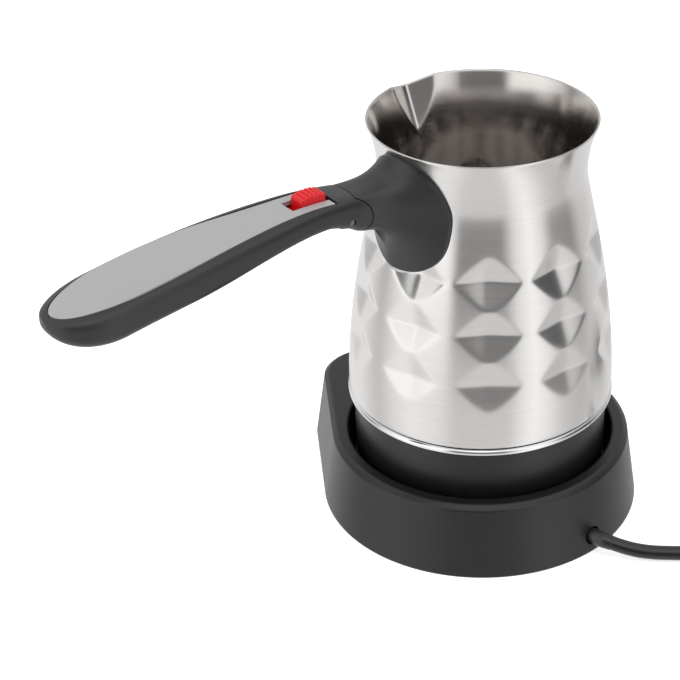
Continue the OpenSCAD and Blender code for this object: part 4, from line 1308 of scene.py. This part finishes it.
@dataclass
class MainsCord:
    """The cord: sleeve, run along the table, coil of the spare length, and plug."""

    d: float = 5.2
    coil_x: float = -82.0
    coil_y: float = 87.0
    coil_r: float = 28.6
    coil_start: float = 49.9
    coil_turn: float = 1169.9
    step_at: Triple = (300, 600, 900)
    step_turn: float = 60
    low_z: float = 3.3
    plug_x: float = -120.9
    plug_y: float = 89.3
    plug_z: float = 6.8
    plug_az: float = 230.0
    sleeve_t: float = 0.16
    sleeve_more: float = 0.4
    sleeve_taper: float = 14.0
    mouth_less: float = 0.3
    mouth_l: float = 0.5
    shoulder: float = 0.5
    run: tuple[Triple, ...] = (
        (-8.2, 64, 5.7), (-10.9, 67.8, 4.8), (-14.2, 71.5, 3.9), (-18.3, 75.1, 3.2), (-23.1, 78.9, 2.9),
        (-29, 83.6, 2.8), (-37, 90.1, 2.9), (-45, 96.7, 3.1), (-53.5, 103.8, 3.3))
    tail: tuple[Triple, ...] = (
        (-109, 103.3, 8.4), (-112.3, 99.5, 8.0), (-115.5, 95.7, 7.4), (-118.3, 92.4, 6.9),
        (-120.9, 89.3, 6.8), (-122.5, 87.4, 6.8))
    sleeve: tuple[Triple, ...] = (
        (-4.1, 43, 6.4), (-4.7, 49, 6.4), (-5.3, 55, 6.4), (-5.6, 58.5, 6.4), (-6.6, 61.6, 6.1),
        (-8.2, 64, 5.7), (-8.75, 64.75, 5.5))

    def coil(self) -> Points:
        """Three and a quarter turns, two wide and two high.

        The angle runs on evenly; radius and height hold one place in the square of four for
        most of a turn, then ease to the next, each change sixty degrees earlier than the last,
        so that no two turns share a place.
        """
        t = np.linspace(0, self.coil_turn, 84)
        inwards, upwards, outwards = (self.d * smooth((t - at) / self.step_turn) for at in self.step_at)
        r = self.coil_r + self.d / 2 - inwards + outwards
        z = self.low_z + upwards
        a = np.radians(self.coil_start + t)
        return np.stack([self.coil_x + r * np.cos(a), self.coil_y + r * np.sin(a), z], axis=-1)

    def line(self) -> Points:
        """The cord's middle line: six steps along a cubic between each two points of the route.

        Between p1 and p2, with p0 before and p3 after them, the cubic is half of 2 p1
        + (p2 - p0) u + (2 p0 - 5 p1 + 4 p2 - p3) u squared + (3 p1 - p0 - 3 p2 + p3) u cubed.
        Both ends run on straight.
        """
        p = np.vstack([self.run, self.coil(), self.tail])
        p = np.vstack([2 * p[0] - p[1], p, 2 * p[-1] - p[-2]])
        p0, p1, p2, p3 = (p[k:len(p) - 3 + k, None] for k in range(4))
        u = np.linspace(0, 1, 6, endpoint=False)[None, :, None]
        bow, twist = 2 * p0 - 5 * p1 + 4 * p2 - p3, 3 * p1 - p0 - 3 * p2 + p3
        cubic = 2 * p1 + (p2 - p0) * u + bow * u**2 + twist * u**3
        return np.vstack([0.5 * cubic.reshape(-1, 3), p[-2]])

    def tube_grid(self, route: Points, radius: Points, n: int) -> Points:
        """A round section carried along a line: centre plus r cos a times the level normal plus
        r sin a times the other, with the line's own direction at each point."""
        step = np.gradient(route, axis=0)
        step /= np.linalg.norm(step, axis=1, keepdims=True)
        level = np.cross(step, [0, 0, 1.0])
        level /= np.linalg.norm(level, axis=1, keepdims=True)
        other = np.cross(level, step)
        a = round_angles(n)[None, :, None]
        rr = radius[:, None, None]
        return route[:, None] + rr * (np.cos(a) * level[:, None] + np.sin(a) * other[:, None])

    def sleeve_line(self) -> Points:
        """The sleeve's middle line, evened out by a running mean of nine points."""
        route = spaced(np.asarray(self.sleeve, float), 90)
        padded = np.pad(route, ((4, 4), (0, 0)), mode="edge")
        total = np.cumsum(np.vstack([np.zeros((1, 3)), padded]), axis=0)
        return (total[9:] - total[:-9]) / 9

    def sleeve_grid(self) -> Points:
        """The strain relief: a tapered tube with a shoulder inside the base and a rolled mouth."""
        route = self.sleeve_line()
        at = run_length(route)
        left = at[-1] - at
        r = self.d / 2 + self.sleeve_t + self.sleeve_more * smooth((left - 1) / self.sleeve_taper)
        mouth = self.mouth_less * (1 - smooth(left / self.mouth_l))
        return self.tube_grid(route, r - mouth + self.shoulder * (at > 1) * (at < 4), 40)

    def plug_grid(self) -> Points:
        """The plug's sections along its own axis.

        Each is a rounded oblong: a superellipse of half-width a and half-height b, exponent
        growing from 2 at the round tail to 3.4 at the face.
        """
        s = np.array([0, 0.4, 1.2, 6, 12, 18, 20, 23, 27, 32, 38, 43, 48, 52, 54.6, 55.6, 56])
        a = np.array([2.9, 3.4, 3.6, 4.1, 4.8, 5.6, 6.2, 8.6, 12.2, 15.4, 17.0, 17.4, 17.5, 17.5,
                      17.3, 16.8, 16.0])
        b = np.array([2.9, 3.4, 3.6, 4.1, 4.7, 5.2, 5.4, 5.9, 6.4, 6.7, 6.8, 6.8, 6.8, 6.8, 6.6,
                      6.2, 5.6])
        e = 2 + 1.4 * smooth((s - 18) / 20)
        at = np.sort(np.concatenate([np.linspace(0, s[-1], 90), s]))
        a, b, e = (np.interp(at, s, v)[:, None] for v in (a, b, e))
        t = round_angles(64)[None, :]
        y, z = a * signed_power(np.cos(t), 2 / e), b * signed_power(np.sin(t), 2 / e)
        c, s = math.cos(math.radians(self.plug_az)), math.sin(math.radians(self.plug_az))
        along = at[:, None]
        return np.stack([self.plug_x + along * c - y * s, self.plug_y + along * s + y * c,
                         self.plug_z + z], axis=-1)

    def build(self) -> None:
        path = self.line()
        tube = self.tube_grid(path, np.full(len(path), self.d / 2), 20)
        cord, plug, _ = (
            piece(mesh_from_grid(name, grid), Finish.SHEATH, "base", *nodes) for name, grid, *nodes in (
                ("cord", tube, "power_cord", "cord_coil"),
                ("plug_moulding", self.plug_grid(), "plug_body"),
                ("cord_sleeve", self.sleeve_grid(), "strain_relief")))
        cord.visible_glossy = False


# ---- Solids that keep their own shape


CARRIED = {
    Finish.BASE_BLACK: ("base_plate", "power_socket", "pot_connector"),
    Finish.STEEL: ("base_screws", "heating_element", "housing_screws", "handle_bracket", "collar_screw",
                   "latch_bolt"),
    Finish.BRASS: ("socket_contacts", "connector_pins", "thermal_cutout"),
    Finish.RUBBER: ("base_feet",),
    Finish.SHEATH: ("cord_tie",),
    Finish.CHROME: ("plug_pins",),
    Finish.CAST: ("heater_plate",),
    Finish.PIN: ("hinge_pin",),
}


def dress_carried() -> None:
    """Gives each CAD node that stays as it is its finish."""
    for finish, names in CARRIED.items():
        for name in names:
            finish.dress(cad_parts[name])
            log.info("%s keeps its solid", name)


# ---- Studio


@dataclass
class Studio:
    """Camera, floor, lamps and surroundings."""

    eye: Triple = (390.27, 465.10, 433.66)
    ahead: Triple = (-0.49223, -0.69822, -0.51980)
    roll: float = -1.919
    lens: float = 103.09
    surround: float = 0.80
    room_rise: tuple[float, float] = (-0.37, -0.06)
    ceiling_rise: tuple[float, float] = (0.45, 0.85)
    warmth: Triple = (1.0, 0.992, 0.985)
    floor_half: float = 6.0
    floor_glow: float = 0.62
    lamps: tuple[tuple[str, Row, Row, Row, float], ...] = (
        ("overhead", (0.10, 0.10, 1.1), (0.03, 0, 0.08), (0.9, 0.9), 5.0),
        ("left_soft", (1.0, -0.25, 0.55), (0.02, 0, 0.09), (0.5, 0.9), 2.5),
        ("right_soft", (-0.55, 0.95, 0.6), (0.0, 0, 0.09), (0.4, 0.9), 2.5))
    table: Levels = (
        (-180, 0.80), (-120, 0.90), (-75, 1.02), (-47, 0.70), (-30, 0.95), (-10, 1.12), (14, 0.98),
        (30, 0.80), (76, 0.80), (84, 1.00), (98, 1.24), (110, 1.08), (126, 0.80), (147, 0.64),
        (162, 0.80), (180, 0.80))
    room: Levels = (
        (-180, 0.63), (-120, 0.72), (-75, 0.90), (-48, 0.36), (-34, 0.95), (-14, 1.35), (20, 1.30),
        (29, 0.20), (70, 0.22), (82, 0.95), (98, 1.30), (111, 1.00), (124, 0.20), (149, 0.06),
        (164, 0.50), (180, 0.63))
    ceiling: Levels = (
        (-180, 0.90), (-150, 0.72), (-112, 0.45), (-69, 1.05), (-30, 1.10), (5, 0.95), (30, 1.30),
        (55, 1.60), (80, 1.20), (110, 1.10), (151, 1.30), (180, 0.90))

    def camera(self) -> None:
        """A camera at the eye that looks ahead, turned about its own line of sight by the roll."""
        data = bpy.data.cameras.new("camera")
        data.sensor_width = 36
        data.lens = self.lens
        data.clip_start, data.clip_end = 0.01, 50
        obj = bpy.data.objects.new("camera", data)
        bpy.context.scene.collection.objects.link(obj)
        ahead = Vector(self.ahead).normalized()
        right = ahead.cross(Vector((0, 0, 1))).normalized()
        up = right.cross(ahead)
        c, s = math.cos(math.radians(self.roll)), math.sin(math.radians(self.roll))
        x, y = right * c + up * s, up * c - right * s
        turn = Matrix((x, y, -ahead)).transposed().to_4x4()
        obj.matrix_world = Matrix.Translation(Vector(self.eye) * MM) @ turn
        bpy.context.scene.camera = obj

    def floor(self) -> None:
        """A pale floor that only catches the object's shadow for the camera."""
        mesh = bpy.data.meshes.new("floor")
        s = self.floor_half
        mesh.from_pydata([(-s, -s, 0), (s, -s, 0), (s, s, 0), (-s, s, 0)], [], [(0, 1, 2, 3)])
        floor = mesh_object(mesh)
        book = ShaderBook("pale_floor")
        book.skin_set(Base_Color=(0.86, 0.86, 0.86, 1), Roughness=0.9)
        skin = book.skin.outputs[0]
        light = book.node("ShaderNodeLightPath")
        glow = book.node("ShaderNodeEmission", {}, Color=(1, 1, 1, 1), Strength=self.floor_glow)
        both = book.chosen("ShaderNodeAddShader", (0, 1), skin, glow.outputs[0])
        book.feed(book.out.inputs["Surface"], book.either(light.outputs["Is Camera Ray"], skin, both))
        floor.data.materials.append(book.material)
        floor.visible_glossy = False

    def lamp(self, name: str, place: Row, aim: Row, size: Row, watts: float) -> None:
        """A soft rectangular lamp that faces its aim and isn't mirrored; places in metres."""
        data = bpy.data.lights.new(name, "AREA")
        data.shape = "RECTANGLE"
        data.size, data.size_y = size
        data.energy = watts
        obj = bpy.data.objects.new(name, data)
        obj.location = place
        obj.rotation_euler = (Vector(aim) - Vector(place)).to_track_quat("-Z", "Y").to_euler()
        obj.visible_glossy = False
        bpy.context.scene.collection.objects.link(obj)

    def bands(self, book: NodeBook, share: Wire, stops: Levels) -> Socket:
        """A ramp of faintly warm grey levels over the compass, from (degrees, level) pairs."""
        ramp = [((deg + 180) / 360, tuple(level * k for k in self.warmth)) for deg, level in stops]
        return book.node("ShaderNodeValToRGB", {"stops": ramp}, Fac=share).outputs[0]

    def world(self) -> None:
        """White behind the object; softer bands of light and shade round it for what it mirrors.

        Three rings of bands, for the table, the room and the ceiling. Each is a ramp over the
        compass angle of the direction looked in, and height blends one into the next.
        """
        world = bpy.data.worlds.new("studio")
        bpy.context.scene.world = world
        world.use_nodes = True
        book = NodeBook(world.node_tree)
        book.tree.nodes.clear()
        coord = book.node("ShaderNodeTexCoord")
        split = book.node("ShaderNodeSeparateXYZ", {}, Vector=coord.outputs["Generated"])
        x, y, height = (Wire(book.tree, split.outputs[axis]) for axis in "XYZ")
        share = y.angle_over(x) * (0.5 / math.pi) + 0.5
        colour = self.bands(book, share, self.table)
        for ring, (low, high) in ((self.room, self.room_rise), (self.ceiling, self.ceiling_rise)):
            rise = ((height - low) * (1 / (high - low))).clamped()
            eased = rise * rise * (3.0 - 2.0 * rise)
            colour = book.blend(eased, colour, self.bands(book, share, ring))
        seen = book.node("ShaderNodeLightPath").outputs
        mirrors = Wire(book.tree, seen["Is Glossy Ray"]) + Wire(book.tree, seen["Is Transmission Ray"])
        plain, banded, white = (book.node("ShaderNodeBackground", {}, Color=c, Strength=1.0).outputs[0]
                                for c in ((*grey(self.surround), 1), colour, (1, 1, 1, 1)))
        lit = book.either(mirrors.clamped(), plain, banded)
        pick = book.either(seen["Is Camera Ray"], lit, white)
        book.node("ShaderNodeOutputWorld", {}, Surface=pick)

    def build(self) -> None:
        """Sets up the studio."""
        self.camera()
        self.floor()
        self.world()
        for name, place, aim, size, watts in self.lamps:
            self.lamp(name, place, aim, size, watts)
        bpy.context.scene.view_settings.view_transform = "Standard"


def main() -> None:
    """Builds the studio, then each sub-assembly from the table up."""
    logging.basicConfig(level=logging.INFO, format="%(message)s")
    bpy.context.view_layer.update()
    Studio().build()
    cord = MainsCord()
    cord.build()
    PowerBase(cord).build()
    pot = Pot()
    pot.build()
    arm = Arm(pot)
    Collar(arm).build()
    grip = Grip(arm)
    grip.build()
    Button(grip).build()
    LatchSpring().build()
    dress_carried()


if __name__ == "__main__":
    main()
